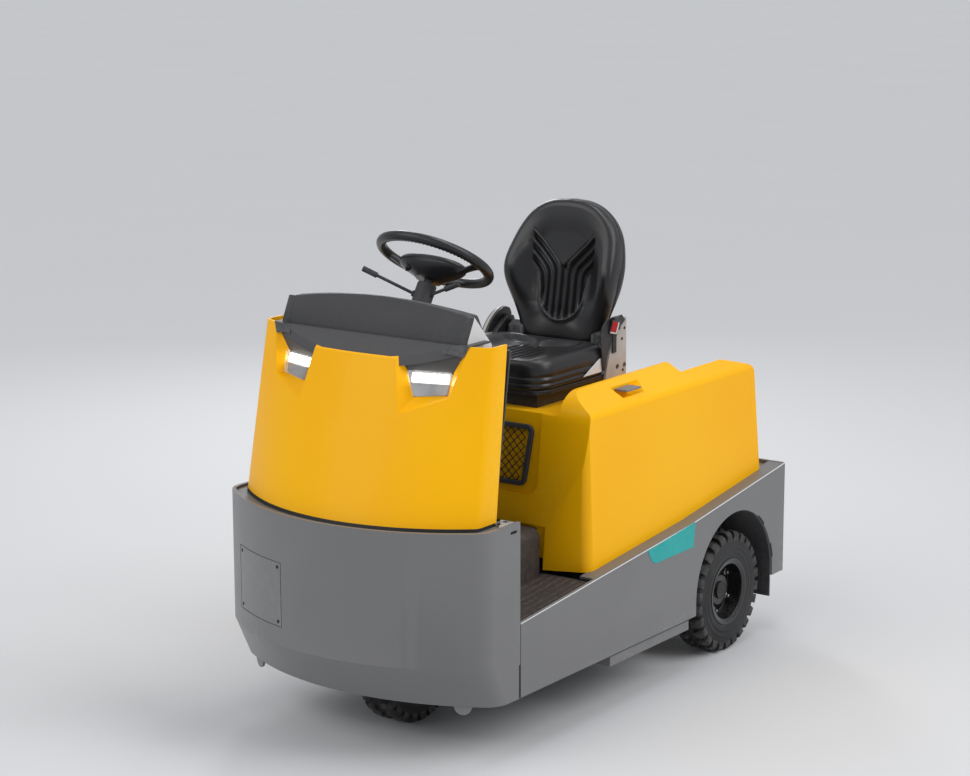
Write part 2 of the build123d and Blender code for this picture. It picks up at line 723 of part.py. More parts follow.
# Steering console: the moulded pillar that carries the column
CONSOLE_HALF = PLATFORM_HALF - 162.0
CONSOLE_SETBACK = 70.0
CONSOLE_BACK_Y = STEER_WHEEL_Y - CONSOLE_SETBACK
CONSOLE_TOP_Z = 1262.0
CONSOLE_EDGE_R = 8.0
with BuildPart() as steering_console:
    with BuildSketch(side_plane(-CONSOLE_HALF)):
        with BuildLine():
            Polyline(
                (VISOR_REAR_Y + SEAT_GAP, VISOR_BASE_Z),
                (VISOR_REAR_Y + SEAT_GAP, CONSOLE_TOP_Z),
                (CONSOLE_BACK_Y, CONSOLE_TOP_Z),
                (CONSOLE_BACK_Y, VISOR_BASE_Z),
                (KNEE_LOW_Y + PLATE_T + COLUMN_R, PLATFORM_Z + SEAT_GAP),
                (KNEE_LOW_Y + PLATE_T + SEAT_GAP, PLATFORM_Z + SEAT_GAP),
                (KNEE_LOW_Y + PLATE_T + SEAT_GAP, BUMPER_TOP_Z),
                close=True,
            )
        make_face()
        fillet(edges().sort_by(Axis.X)[-1].vertices(), CONSOLE_EDGE_R)
    extrude(amount=2 * CONSOLE_HALF)
    add(steering_column.part, mode=Mode.SUBTRACT)
save(steering_console, "steering_console")

# Steering wheel: a thick rim on three dished spokes and a broad boss
BOSS_TOP = HUB_BASE + STEER_HUB_H + STEER_BOSS_H / 2
with BuildPart() as steering_wheel:
    ring_r = STEER_WHEEL_R - STEER_TUBE_R
    ahead = -steer_plane.y_dir
    with BuildSketch(Plane(origin=steer_centre, x_dir=ahead, z_dir=ahead.cross(steer_axis))):
        with Locations((ring_r, 0)):
            RegularPolygon(STEER_TUBE_R, STEER_RIM_SIDES)
    revolve(axis=Axis(steer_centre, steer_axis))
    boss_plane = Plane(origin=steer_centre, x_dir=ahead, z_dir=steer_axis)
    with BuildSketch(boss_plane.offset(HUB_BASE)):
        Circle(STEER_HUB_R)
    extrude(amount=STEER_HUB_H)
    with BuildSketch(boss_plane.offset(BOSS_TOP - STEER_BOSS_H)):
        Ellipse(STEER_HUB_R * 1.1, STEER_BOSS_HALF * 0.6)
    with BuildSketch(boss_plane.offset(BOSS_TOP)):
        Ellipse(STEER_HUB_R * 1.4, STEER_BOSS_HALF)
    loft()
    for turn in (0, 90, 180):
        spoke_dir = steer_plane.x_dir.rotate(Axis((0, 0, 0), steer_axis), turn)
        spoke_plane = Plane(origin=steer_centre, x_dir=spoke_dir, z_dir=spoke_dir.cross(steer_axis))
        with BuildSketch(spoke_plane):
            with BuildLine():
                Polyline(
                    (STEER_HUB_R / 2, -STEER_DISH - STEER_TUBE_R),
                    (ring_r, -STEER_TUBE_R / 2),
                    (ring_r, STEER_TUBE_R / 2),
                    (STEER_HUB_R / 2, -STEER_DISH + STEER_TUBE_R),
                    close=True,
                )
            make_face()
        extrude(amount=STEER_TUBE_R * 1.4, both=True)
    with BuildSketch(steer_plane.offset(HUB_BASE)):
        Circle(STEER_HUB_R / 3 + SEAT_GAP)
    extrude(amount=STEER_HUB_H / 2 + SEAT_GAP, mode=Mode.SUBTRACT)
save(steering_wheel, "steering_wheel")

# Travel lever: a thin stalk with a grip on the column's right, and a short one on its left
LEVER_R = 5.0
LEVER_SWEEP = Vector(-150, -136, -27)
LEVER_DROP = 30.0
SHORT_SWEEP = Vector(98, -45, -62)
lever_foot = steer_centre - steer_axis * (STEER_DISH + STEER_HUB_H + OPEN_GAP + LEVER_DROP)
with BuildPart() as travel_lever:
    for sweep in (LEVER_SWEEP, SHORT_SWEEP):
        lever_tip = steer_centre + sweep
        lever_dir = (lever_tip - lever_foot).normalized()
        lever_start = lever_foot + lever_dir * (COLUMN_R + LEVER_R)
        with BuildSketch(Plane(origin=lever_start, z_dir=lever_dir)):
            Circle(LEVER_R)
        extrude(amount=(lever_tip - lever_start).length)
        with BuildSketch(Plane(origin=lever_tip, z_dir=lever_dir)):
            Circle(LEVER_R * 1.8)
        extrude(amount=LEVER_R * 5, both=True)
        with BuildSketch(Plane(origin=lever_start, z_dir=lever_dir)):
            Circle(LEVER_R * 2)
        extrude(amount=-COLUMN_R, taper=-4)
    add(steering_column.part, mode=Mode.SUBTRACT)
save(travel_lever, "travel_lever")

# Instrument display: a small hooded screen on the visor's rear slope
DISPLAY_W = 120.0
DISPLAY_H = 70.0
DISPLAY_T = 14.0
slope_top = Vector(0, VISOR_TOP_Y + VISOR_TOP_T, VISOR_CROWN_Z)
slope_foot = Vector(0, VISOR_REAR_Y, CHEEK_REAR_Z)
slope_dir = (slope_top - slope_foot).normalized()
slope_plane = Plane(
    origin=(slope_top + slope_foot) * 0.5, x_dir=(-1, 0, 0), z_dir=Vector(-1, 0, 0).cross(slope_dir)
)
with BuildPart() as instrument_display:
    with BuildSketch(slope_plane):
        RectangleRounded(DISPLAY_W, DISPLAY_H, DISPLAY_T / 2)
    extrude(amount=DISPLAY_T)
save(instrument_display, "instrument_display")

# Chassis frame: front cheeks and steering head, battery tray, bulkhead and rear rails
HEAD_Z = 520.0
HEAD_T = 20.0
CHEEK_PLATE_T = 14.0
KING_R = 45.0
FRAME_SETBACK = 185.0
FRAME_FRONT_Y = FRONT_Y + FRAME_SETBACK
BULKHEAD_Y = HOOD_FRONT_Y + HOOD_WALL + OPEN_GAP
TRAY_Z = SKIRT_BOTTOM_Z
BATTERY_Y = HOOD_FRONT_Y + HOOD_FRONT_LEAN + HOOD_WALL + 2 * OPEN_GAP
BATTERY_LENGTH = REAR_AXLE_Y - ARCH_R - LINER_T - BATTERY_GAP - BATTERY_Y
TRAY_BACK_Y = BATTERY_Y + BATTERY_LENGTH + OPEN_GAP
RAIL_Z = TYRE_R + AXLE_R + 6.0
RAIL_TOP_Z = 470.0
inner_half = HALF - SKIRT_T
plate_top = PLATFORM_Z - PLATE_T
with BuildPart() as chassis_frame:
    cheek_x = PLATFORM_HALF - PLATFORM_EDGE_R - CHEEK_PLATE_T / 2
    cheek_long = BULKHEAD_Y - FRAME_FRONT_Y
    cheek_y = (BULKHEAD_Y + FRAME_FRONT_Y) / 2
    for side in (-1, 1):
        with Locations((side * cheek_x, cheek_y, (SKIRT_BOTTOM_Z + plate_top) / 2)):
            Box(CHEEK_PLATE_T, cheek_long, plate_top - SKIRT_BOTTOM_Z)
    with Locations((0, cheek_y, HEAD_Z + HEAD_T / 2)):
        Box(2 * cheek_x, cheek_long, HEAD_T)
    with Locations((0, BULKHEAD_Y + PLATE_T / 2, (TRAY_Z + plate_top) / 2)):
        Box(2 * cheek_x + CHEEK_PLATE_T, PLATE_T, plate_top - TRAY_Z)
    side_top = skirt_top(BULKHEAD_Y) - 2 * STEP_T
    with Locations((0, BULKHEAD_Y + PLATE_T / 2, (TRAY_Z + side_top) / 2)):
        Box(2 * inner_half, PLATE_T, side_top - TRAY_Z)
    with Locations((0, (BULKHEAD_Y + TRAY_BACK_Y) / 2, TRAY_Z + PLATE_T / 2)):
        Box(2 * inner_half, TRAY_BACK_Y - BULKHEAD_Y, PLATE_T)
    with Locations((0, TRAY_BACK_Y + PLATE_T / 2, (TRAY_Z + RAIL_TOP_Z) / 2)):
        Box(2 * RAIL_X + RAIL_T, PLATE_T, RAIL_TOP_Z - TRAY_Z)
    rail_end = PANEL_Y - SKIRT_T
    for side in (-1, 1):
        with Locations((side * RAIL_X, (TRAY_BACK_Y + rail_end) / 2, (RAIL_Z + RAIL_TOP_Z) / 2)):
            Box(RAIL_T, rail_end - TRAY_BACK_Y, RAIL_TOP_Z - RAIL_Z)
    with BuildSketch(Plane.XY.offset(HEAD_Z)):
        with Locations((0, FRONT_AXLE_Y)):
            Circle(KING_R + SEAT_GAP)
    extrude(amount=HEAD_T, mode=Mode.SUBTRACT)
save(chassis_frame, "chassis_frame")

# Floor platform: a steel hat over the front wheel, bearing the driver's feet
with BuildPart() as floor_platform:
    with BuildSketch(front_plane(BULKHEAD_Y - OPEN_GAP - HOOD_WALL - OPEN_GAP)):
        with BuildLine():
            Polyline(
                (-PLATFORM_HALF, SKIRT_FRONT_Z),
                (-PLATFORM_HALF, PLATFORM_Z),
                (PLATFORM_HALF, PLATFORM_Z),
                (PLATFORM_HALF, SKIRT_FRONT_Z),
                (PLATFORM_HALF - PLATE_T, SKIRT_FRONT_Z),
                (PLATFORM_HALF - PLATE_T, plate_top),
                (PLATE_T - PLATFORM_HALF, plate_top),
                (PLATE_T - PLATFORM_HALF, SKIRT_FRONT_Z),
                close=True,
            )
        make_face()
        fillet(vertices().group_by(Axis.Y)[-1], PLATFORM_EDGE_R)
        fillet(vertices().filter_by(lambda v: abs(v.Y - plate_top) < SEAT_GAP), PLATFORM_EDGE_R - PLATE_T)
    extrude(amount=HOOD_FRONT_Y - OPEN_GAP - FRAME_FRONT_Y)
save(floor_platform, "floor_platform")

# Step plates: low ribbed floors on both sides, following the skirts' climb
STEP_BACK_Y = BULKHEAD_Y - OPEN_GAP
with BuildPart() as step_plates:
    with BuildSketch(side_plane(PLATFORM_HALF + SEAT_GAP)):
        with BuildLine():
            Polyline(
                (BUMPER_BACK_Y, skirt_top(BUMPER_BACK_Y) - STEP_T),
                (STEP_BACK_Y, skirt_top(STEP_BACK_Y) - STEP_T),
                (STEP_BACK_Y, skirt_top(STEP_BACK_Y) - 2 * STEP_T),
                (BUMPER_BACK_Y, skirt_top(BUMPER_BACK_Y) - 2 * STEP_T),
                close=True,
            )
        make_face()
    extrude(amount=inner_half - PLATFORM_HALF - SEAT_GAP)
    rib_first = PLATFORM_HALF + RIB_MARGIN
    rib_pitch = (inner_half - RIB_MARGIN - RIB_W - rib_first) / (RIB_COUNT - 1)
    for rib in range(RIB_COUNT):
        with BuildSketch(side_plane(rib_first + rib * rib_pitch)):
            with BuildLine():
                Polyline(
                    (BUMPER_BACK_Y + RIB_MARGIN, skirt_top(BUMPER_BACK_Y + RIB_MARGIN) - STEP_T - RIB_H),
                    (BUMPER_BACK_Y + RIB_MARGIN, skirt_top(BUMPER_BACK_Y + RIB_MARGIN) - STEP_T + RIB_H),
                    (STEP_BACK_Y - RIB_MARGIN, skirt_top(STEP_BACK_Y - RIB_MARGIN) - STEP_T + RIB_H),
                    (STEP_BACK_Y - RIB_MARGIN, skirt_top(STEP_BACK_Y - RIB_MARGIN) - STEP_T - RIB_H),
                    close=True,
                )
            make_face()
        extrude(amount=RIB_W)
    mirror(about=Plane.YZ)
save(step_plates, "step_plates")


def side_skirt(side):
    """Outer side plate with its wheel arch and the inward ledge along its top."""
    with BuildPart() as skirt:
        with BuildSketch(side_plane(0)):
            with BuildLine():
                Polyline(
                    (BUMPER_BACK_Y + OPEN_GAP / 2, SKIRT_BOTTOM_Z),
                    (BUMPER_BACK_Y + OPEN_GAP / 2, SKIRT_FRONT_Z),
                    (SKIRT_KNEE_Y, SKIRT_KNEE_Z),
                    (PANEL_Y, SKIRT_REAR_Z),
                    (PANEL_Y, SKIRT_TAIL_Z),
                    (REAR_AXLE_Y, SKIRT_TAIL_Z),
                    (REAR_AXLE_Y, SKIRT_BOTTOM_Z),
                    close=True,
                )
            make_face()
            with Locations((REAR_AXLE_Y, ARCH_Z)):
                Circle(ARCH_R, mode=Mode.SUBTRACT)
            with Locations((REAR_AXLE_Y, ARCH_Z - ARCH_R / 2)):
                Rectangle(2 * ARCH_R, ARCH_R, mode=Mode.SUBTRACT)
        extrude(amount=SKIRT_T)
        with BuildSketch(side_plane(SKIRT_T)):
            with BuildLine():
                ledge_y = HOOD_FRONT_Y + HOOD_WALL
                ledge_end = PANEL_Y - SKIRT_T
                Polyline(
                    (ledge_y, skirt_top(ledge_y)),
                    (SKIRT_KNEE_Y, SKIRT_KNEE_Z),
                    (ledge_end, skirt_top(ledge_end)),
                    (ledge_end, skirt_top(ledge_end) - PLATE_T),
                    (SKIRT_KNEE_Y, SKIRT_KNEE_Z - PLATE_T),
                    (ledge_y, skirt_top(ledge_y) - PLATE_T),
                    close=True,
                )
            make_face()
        extrude(amount=-SKIRT_LEDGE)
        top_edges = skirt.edges().filter_by(lambda e: e.center().X > SKIRT_T - SEAT_GAP)
        top_edges = top_edges.filter_by(lambda e: abs(e.center().Z - skirt_top(e.center().Y)) < SEAT_GAP)
        fillet(top_edges, SKIRT_EDGE_R)
    placed = Pos(HALF - SKIRT_T, 0, 0) * skirt.part
    if side < 0:
        placed = mirror(placed, about=Plane.YZ, mode=Mode.PRIVATE)
    with BuildPart() as finished:
        add(placed)
    return finished


save(side_skirt(1), "side_skirt_left")
save(side_skirt(-1), "side_skirt_right")

# Sill boxes: shallow boxes under the skirts
SILL_FRONT_Y = HOOD_FRONT_Y + 110.0
SILL_BACK_Y = REAR_AXLE_Y - ARCH_R - 30.0
SILL_DROP = 42.0
SILL_W = 60.0
with BuildPart() as sill_boxes:
    with Locations((HALF - SKIRT_T - SILL_W / 2, (SILL_FRONT_Y + SILL_BACK_Y) / 2, TRAY_Z - SILL_DROP / 2)):
        Box(SILL_W, SILL_BACK_Y - SILL_FRONT_Y, SILL_DROP)
    mirror(about=Plane.YZ)
save(sill_boxes, "sill_boxes")

# Wheel liners: dark arches behind the skirts' openings, each with a flap behind its wheel
LINER_X = RAIL_X + RAIL_T / 2
with BuildPart() as wheel_liners:
    with BuildSketch(side_plane(LINER_X)):
        with Locations((REAR_AXLE_Y, ARCH_Z)):
            Circle(ARCH_R + SEAT_GAP + LINER_T)
            Circle(ARCH_R + SEAT_GAP, mode=Mode.SUBTRACT)
        with Locations((REAR_AXLE_Y, ARCH_Z - ARCH_R)):
            Rectangle(3 * ARCH_R, 2 * ARCH_R, mode=Mode.SUBTRACT)
    extrude(amount=inner_half - LINER_X)
    with Locations((inner_half - SEAT_GAP, REAR_AXLE_Y + ARCH_R + SEAT_GAP, ARCH_Z + LINER_T)):
        Box(FLAP_W, LINER_T, ARCH_Z + LINER_T - FLAP_Z, align=(Align.MAX, Align.MIN, Align.MAX))
    mirror(about=Plane.YZ)
save(wheel_liners, "wheel_liners")

# Rear panel: the thick steel tail with a ledge behind the hood and two hinge brackets
with BuildPart() as rear_panel:
    panel_y = PANEL_Y - SKIRT_T / 2
    with Locations((0, panel_y, (SKIRT_TAIL_Z + SKIRT_REAR_Z) / 2)):
        Box(2 * inner_half, SKIRT_T, SKIRT_REAR_Z - SKIRT_TAIL_Z)
    tail_y = HOOD_REAR_Y + OPEN_GAP
    tail_z = skirt_top(HOOD_REAR_Y) - PLATE_T
    tail_half = HALF - SKIRT_LEDGE - SEAT_GAP
    with Locations((0, (tail_y + PANEL_Y - SKIRT_T) / 2, tail_z + PLATE_T / 2)):
        Box(2 * tail_half, PANEL_Y - SKIRT_T - tail_y, PLATE_T)
    for side in (-1, 1):
        for ear_side in (-1, 1):
            ear_x = side * HINGE_X + ear_side * (HINGE_EAR + HINGE_LEAF) / 2 + ear_side * SEAT_GAP
            with BuildSketch(side_plane(ear_x - HINGE_LEAF / 2)):
                with BuildLine():
                    Polyline((HINGE_Y - HINGE_EYE, HINGE_Z), (HINGE_Y - HINGE_EYE, tail_z + PLATE_T))
                    Line((HINGE_Y - HINGE_EYE, tail_z + PLATE_T), (HINGE_Y + HINGE_EYE, tail_z + PLATE_T))
                    Line((HINGE_Y + HINGE_EYE, tail_z + PLATE_T), (HINGE_Y + HINGE_EYE, HINGE_Z))
                    ThreePointArc(
                        (HINGE_Y + HINGE_EYE, HINGE_Z),
                        (HINGE_Y, HINGE_Z + HINGE_EYE),
                        (HINGE_Y - HINGE_EYE, HINGE_Z),
                    )
                make_face()
            extrude(amount=HINGE_LEAF)
        with BuildSketch(side_plane(side * HINGE_X)):
            with Locations((HINGE_Y, HINGE_Z)):
                Circle(HINGE_R)
        extrude(amount=HINGE_EAR / 2 + HINGE_LEAF, both=True)
save(rear_panel, "rear_panel")

# Rear axle: beam, drive housings and wheel stubs
hub_face = REAR_WHEEL_X - RIM_W / 2 + 20
with BuildPart() as rear_axle:
    with BuildSketch(side_plane(0)):
        with Locations((REAR_AXLE_Y, TYRE_R)):
            Circle(AXLE_R)
    extrude(amount=hub_face, both=True)
    with BuildSketch(side_plane(0)):
        with Locations((REAR_AXLE_Y, TYRE_R)):
            Circle(STUB_R)
    extrude(amount=REAR_WHEEL_X + RIM_W / 4, both=True)
    for side in (-1, 1):
        with Locations((side * RAIL_X, REAR_AXLE_Y, (TYRE_R + RAIL_Z) / 2)):
            Box(4 * RAIL_T, 2 * AXLE_R, RAIL_Z - TYRE_R)
    with BuildSketch(side_plane(0)):
        with Locations((REAR_AXLE_Y, TYRE_R)):
            Circle(1.9 * AXLE_R)
    extrude(amount=AXLE_R * 2.4, both=True)
save(rear_axle, "rear_axle")


def lug_outline(radius, first):
    """Tread seen from the side: lugs that fill half of their pitch, one centred at a given angle."""
    pitch = 2 * math.pi / LUG_COUNT
    corners = (
        (-pitch / 4, radius - LUG_DEPTH),
        (-pitch / 4, radius),
        (pitch / 4, radius),
        (pitch / 4, radius - LUG_DEPTH),
    )
    points = []
    for lug in range(LUG_COUNT):
        for turn, reach in corners:
            angle = first + lug * pitch + turn
            points.append((reach * math.cos(angle), reach * math.sin(angle)))
    with BuildSketch(mode=Mode.PRIVATE) as outline:
        with BuildLine():
            Polyline(points, close=True)
        make_face()
    return outline.sketch


def lugged_tyre(x, y):
    """Solid tyre whose shoulder lugs alternate from side to side."""
    plane = Plane(origin=(x, y, TYRE_R), x_dir=(0, 1, 0), z_dir=(1, 0, 0))
    half = TYRE_W / 2
    quarter = math.pi / 2 / LUG_COUNT
    lug_r = TYRE_R / math.cos(quarter)
    down = -math.pi / 2
    with BuildPart() as tyre:
        with BuildSketch(plane.offset(LUG_SPAN - half)):
            RegularPolygon(lug_r - LUG_DEPTH, 2 * LUG_COUNT, rotation=math.degrees(down + quarter))
        extrude(amount=TYRE_W - 2 * LUG_SPAN)
        for side, first in ((1, down), (-1, down + 2 * quarter)):
            bands = ((half - LUG_SPAN, lug_r), (half - TYRE_SHOULDER, lug_r), (half, lug_r - LUG_TAPER))
            for reach, radius in bands:
                with BuildSketch(plane.offset(side * reach)):
                    add(lug_outline(radius, first))
            loft(ruled=True)
        bead_r = RIM_R + TYRE_SHOULDER
        for reach, radius in ((-half, bead_r), (-RIM_W / 2, RIM_R), (RIM_W / 2, RIM_R), (half, bead_r)):
            with BuildSketch(plane.offset(reach)):
                RegularPolygon(radius, 2 * LUG_COUNT, major_radius=False)
        loft(ruled=True, mode=Mode.SUBTRACT)
    return tyre


def dished_rim(x, y, bore_r, face):
    """Rim with flared lips and a dished disc; face is the side, -1 or 1, that the dish opens to."""
    plane = Plane(origin=(x, y, TYRE_R), x_dir=(face, 0, 0), z_dir=(0, -face, 0))
    seat_r = RIM_R - RUN_GAP
    lip_x = RIM_W / 2 + RIM_LIP
    flare = TYRE_SHOULDER / (TYRE_W / 2 - RIM_W / 2)
    lip_r = seat_r + flare * RIM_LIP - 2 * SEAT_GAP
    with BuildPart() as rim:
        with BuildSketch(plane):
            with BuildLine():
                Polyline(
                    (-RIM_W / 2, seat_r),
                    (RIM_W / 2, seat_r),
                    (lip_x, lip_r),
                    (lip_x, lip_r - RIM_LIP),
                    (RIM_W / 2, seat_r - RIM_WALL),
                    (-RIM_W / 2, seat_r - RIM_WALL),
                    (-lip_x, lip_r - RIM_LIP),
                    (-lip_x, lip_r),
                    close=True,
                )
            make_face()
            with BuildLine():
                Polyline(
                    (-RIM_DISH - RIM_DISC / 2, seat_r - RIM_WALL / 2),
                    (-RIM_DISH + RIM_DISC / 2, seat_r - RIM_WALL / 2),
                    (RIM_DISC / 2, HUB_R - RIM_DISC),
                    (-RIM_DISC / 2, HUB_R - RIM_DISC),
                    close=True,
                )
            make_face()
            with Locations((0, (HUB_R + bore_r) / 2)):
                Rectangle(HUB_W, HUB_R - bore_r)
        revolve(axis=Axis((x, y, TYRE_R), (1, 0, 0)))
    return rim


for side, name in ((1, "left"), (-1, "right")):
    save(lugged_tyre(side * REAR_WHEEL_X, REAR_AXLE_Y), f"rear_tyre_{name}")
    save(dished_rim(side * REAR_WHEEL_X, REAR_AXLE_Y, STUB_R + RUN_GAP, side), f"rear_rim_{name}")

# Front wheel on its pin, and the steered fork that carries it
PIN_R = 20.0
FORK_LEG = 18.0
FORK_GAP = 16.0
FORK_CROWN = 108.0
FORK_EYE_R = 48.0
FORK_HALF = TYRE_W / 2 + FORK_GAP + FORK_LEG
CROWN_Z = 2 * TYRE_R + FORK_GAP
save(lugged_tyre(0.0, FRONT_AXLE_Y), "front_tyre")
save(dished_rim(0.0, FRONT_AXLE_Y, PIN_R + RUN_GAP, 1), "front_rim")

with BuildPart() as steer_fork:
    crown_h = HEAD_Z - OPEN_GAP - CROWN_Z
    with Locations((0, FRONT_AXLE_Y, CROWN_Z + crown_h / 2)):
        Box(2 * FORK_HALF, 2 * FORK_CROWN, crown_h)
    for leg_x in (-FORK_HALF, FORK_HALF - FORK_LEG):
        with BuildSketch(side_plane(leg_x)):
            with Locations((FRONT_AXLE_Y, TYRE_R)):
                Circle(FORK_EYE_R)
            with Locations((FRONT_AXLE_Y, CROWN_Z + crown_h / 2)):
                Rectangle(2 * FORK_CROWN, crown_h)
            make_hull()
        extrude(amount=FORK_LEG)
    with BuildSketch(side_plane(-FORK_HALF)):
        with Locations((FRONT_AXLE_Y, TYRE_R)):
            Circle(PIN_R)
    extrude(amount=2 * FORK_HALF)
    with BuildSketch(Plane.XY.offset(CROWN_Z)):
        with Locations((0, FRONT_AXLE_Y)):
            Circle(KING_R)
    extrude(amount=plate_top - OPEN_GAP - CROWN_Z)
save(steer_fork, "steer_fork")

# Battery: one plain block in its tray
with BuildPart() as battery_block:
    with Locations((0, BATTERY_Y + BATTERY_LENGTH / 2, TRAY_Z + PLATE_T + BATTERY_H / 2)):
        Box(2 * BATTERY_HALF, BATTERY_LENGTH, BATTERY_H)
save(battery_block, "battery_block")

# Tow coupling: a ladder of plates with one bore through all of them
with BuildPart() as tow_coupling:
    stack_h = COUPLING_PITCH * (COUPLING_LEVELS - 1) + COUPLING_PLATE_T
    with Locations((0, PANEL_Y + COUPLING_BACK_T / 2, COUPLING_LOW_Z + stack_h / 2)):
        Box(2 * COUPLING_HALF, COUPLING_BACK_T, stack_h)
    for level in range(COUPLING_LEVELS):
        with BuildSketch(Plane.XY.offset(COUPLING_LOW_Z + level * COUPLING_PITCH)):
            with Locations((0, PANEL_Y + COUPLING_REACH / 2)):
                Rectangle(2 * COUPLING_HALF, COUPLING_REACH)
            fillet(vertices().group_by(Axis.Y)[-1], COUPLING_NOSE_R)
        extrude(amount=COUPLING_PLATE_T)
    with BuildSketch(Plane.XY.offset(COUPLING_LOW_Z)):
        with Locations((0, PANEL_Y + COUPLING_REACH - 1.5 * COUPLING_BORE_R)):
            Circle(COUPLING_BORE_R)
    extrude(amount=stack_h, mode=Mode.SUBTRACT)
save(tow_coupling, "tow_coupling")

# Rear lamps: a rounded lamp on each side of the tail
TAIL_LAMP_W = 90.0
TAIL_LAMP_H = 110.0
TAIL_LAMP_R = 18.0
TAIL_LAMP_T = 26.0
TAIL_LAMP_INSET = 75.0
TAIL_LAMP_DROP = 90.0
with BuildPart() as rear_lamps:
    with BuildSketch(front_plane(PANEL_Y)):
        with Locations((inner_half - TAIL_LAMP_INSET, SKIRT_REAR_Z - TAIL_LAMP_DROP)):
            RectangleRounded(TAIL_LAMP_W, TAIL_LAMP_H, TAIL_LAMP_R)
    extrude(amount=-TAIL_LAMP_T)
    mirror(about=Plane.YZ)
save(rear_lamps, "rear_lamps")

# Pedals: brake and accelerator treads that stand on the platform
PEDAL_W = 55.0
PEDAL_H = 120.0
PEDAL_T = 12.0
PEDAL_Y = KNEE_LOW_Y + 40.0
PEDAL_HEEL = 20.0
PEDAL_RUN = 80.0
PEDAL_INNER_X = CONSOLE_HALF + 36.0
PEDAL_OUTER_X = PLATFORM_HALF - 52.0
with BuildPart() as pedals:
    for pedal_x in (-PEDAL_INNER_X, -PEDAL_OUTER_X):
        with BuildSketch(side_plane(pedal_x - PEDAL_W / 2)):
            with BuildLine():
                Polyline(
                    (PEDAL_Y + PEDAL_HEEL, PLATFORM_Z + SEAT_GAP),
                    (PEDAL_Y, PLATFORM_Z + PEDAL_H),
                    (PEDAL_Y + PEDAL_T, PLATFORM_Z + PEDAL_H + PEDAL_T / 3),
                    (PEDAL_Y + PEDAL_RUN, PLATFORM_Z + SEAT_GAP),
                    close=True,
                )
            make_face()
        extrude(amount=PEDAL_W)
save(pedals, "pedals")


def hood_plan(inset):
    """Hood from above: a flat console face between two pontoons with rounded noses."""
    half = HOOD_HALF - inset
    front = HOOD_FRONT_Y + inset
    back = HOOD_REAR_Y - inset
    with BuildSketch(mode=Mode.PRIVATE) as plan:
        with BuildLine():
            Polyline(
                (-half, back),
                (half, back),
                (half, front + HOOD_SHOULDER),
                (PLATFORM_HALF + OPEN_GAP, front),
                (-PLATFORM_HALF - OPEN_GAP, front),
                (-half, front + HOOD_SHOULDER),
                close=True,
            )
        make_face()
        fillet(plan.vertices().group_by(Axis.Y)[1], HOOD_SHOULDER - inset)
    return plan.sketch


def hood_section(inset):
    """Hood from the front: leaning sides up to a crease, then a roof that rises inwards."""
    base_z = SKIRT_FRONT_Z
    with BuildSketch(mode=Mode.PRIVATE) as section:
        with BuildLine():
            Polyline(
                (HOOD_HALF - inset, base_z),
                (HOOD_CREASE_HALF - inset, HOOD_CREASE_Z - inset / 2),
                (HOOD_RIDGE_HALF - inset / 2, HOOD_RIDGE_Z - inset),
                (inset / 2 - HOOD_RIDGE_HALF, HOOD_RIDGE_Z - inset),
                (inset - HOOD_CREASE_HALF, HOOD_CREASE_Z - inset / 2),
                (inset - HOOD_HALF, base_z),
                close=True,
            )
        make_face()
        fillet(section.vertices().group_by(Axis.Y)[-2], HOOD_CREASE_R - inset)
    return section.sketch


def hood_profile(inset):
    """Hood from the side: a leaning, well rounded front and a top that falls to a leaning tail."""
    front = HOOD_FRONT_Y + inset
    back = HOOD_REAR_Y - inset
    top = HOOD_RIDGE_Z - inset
    drop = inset * 20
    with BuildSketch(mode=Mode.PRIVATE) as profile:
        with BuildLine():
            fall = (HOOD_REAR_Y - HOOD_FALL, top)
            tail = (back - HOOD_TAIL_LEAN, HOOD_TAIL_Z - inset)
            Line((front + HOOD_FRONT_LEAN, top), fall)
            TangentArc(fall, tail, tangent=(1, 0))
            Polyline(
                tail,
                (back, skirt_top(back) + SEAT_GAP - drop),
                (SKIRT_KNEE_Y, SKIRT_KNEE_Z + SEAT_GAP - drop),
                (front, skirt_top(front) + SEAT_GAP - drop),
                (front + HOOD_FRONT_LEAN, top),
            )
        make_face()
        fillet(profile.vertices().sort_by(Axis.X)[1], HOOD_NOSE_R - inset)
        fillet(profile.vertices().sort_by(Axis.X)[-2], HOOD_TAIL_R - inset)
    return profile.sketch


def hood_block(inset):
    """Closed hood body made where its three outlines meet."""
    with BuildPart(mode=Mode.PRIVATE) as block:
        with BuildSketch(side_plane(-HOOD_HALF)):
            add(hood_profile(inset))
        extrude(amount=2 * HOOD_HALF)
        with BuildSketch(front_plane(HOOD_REAR_Y)):
            add(hood_section(inset))
        extrude(amount=HOOD_LENGTH, mode=Mode.INTERSECT)
        with BuildSketch(Plane.XY):
            add(hood_plan(inset))
        extrude(amount=BACK_TOP_Z, mode=Mode.INTERSECT)
    return block.part


def hood_well(grow):
    """Space above the seat deck and the sloping tray behind it."""
    half = WELL_HALF + grow
    tray = TRAY_HALF + grow
    deck = DECK_Z - grow
    with BuildPart(mode=Mode.PRIVATE) as well:
        with BuildSketch(side_plane(-half)):
            with BuildLine():
                Polyline(
                    (HOOD_FRONT_Y - HOOD_NOSE_R, deck),
                    (WELL_BACK_Y + grow, deck),
                    (WELL_BACK_Y + grow, BACK_TOP_Z),
                    (HOOD_FRONT_Y - HOOD_NOSE_R, BACK_TOP_Z),
                    close=True,
                )
            make_face()
        extrude(amount=2 * half)
        with BuildSketch(side_plane(-tray)):
            with BuildLine():
                Polyline(
                    (WELL_BACK_Y - grow, deck),
                    (HOOD_REAR_Y + HOOD_TAIL, deck - TRAY_DROP),
                    (HOOD_REAR_Y + HOOD_TAIL, BACK_TOP_Z),
                    (WELL_BACK_Y - grow, BACK_TOP_Z),
                    close=True,
                )
            make_face()
        extrude(amount=2 * tray)
    return well.part


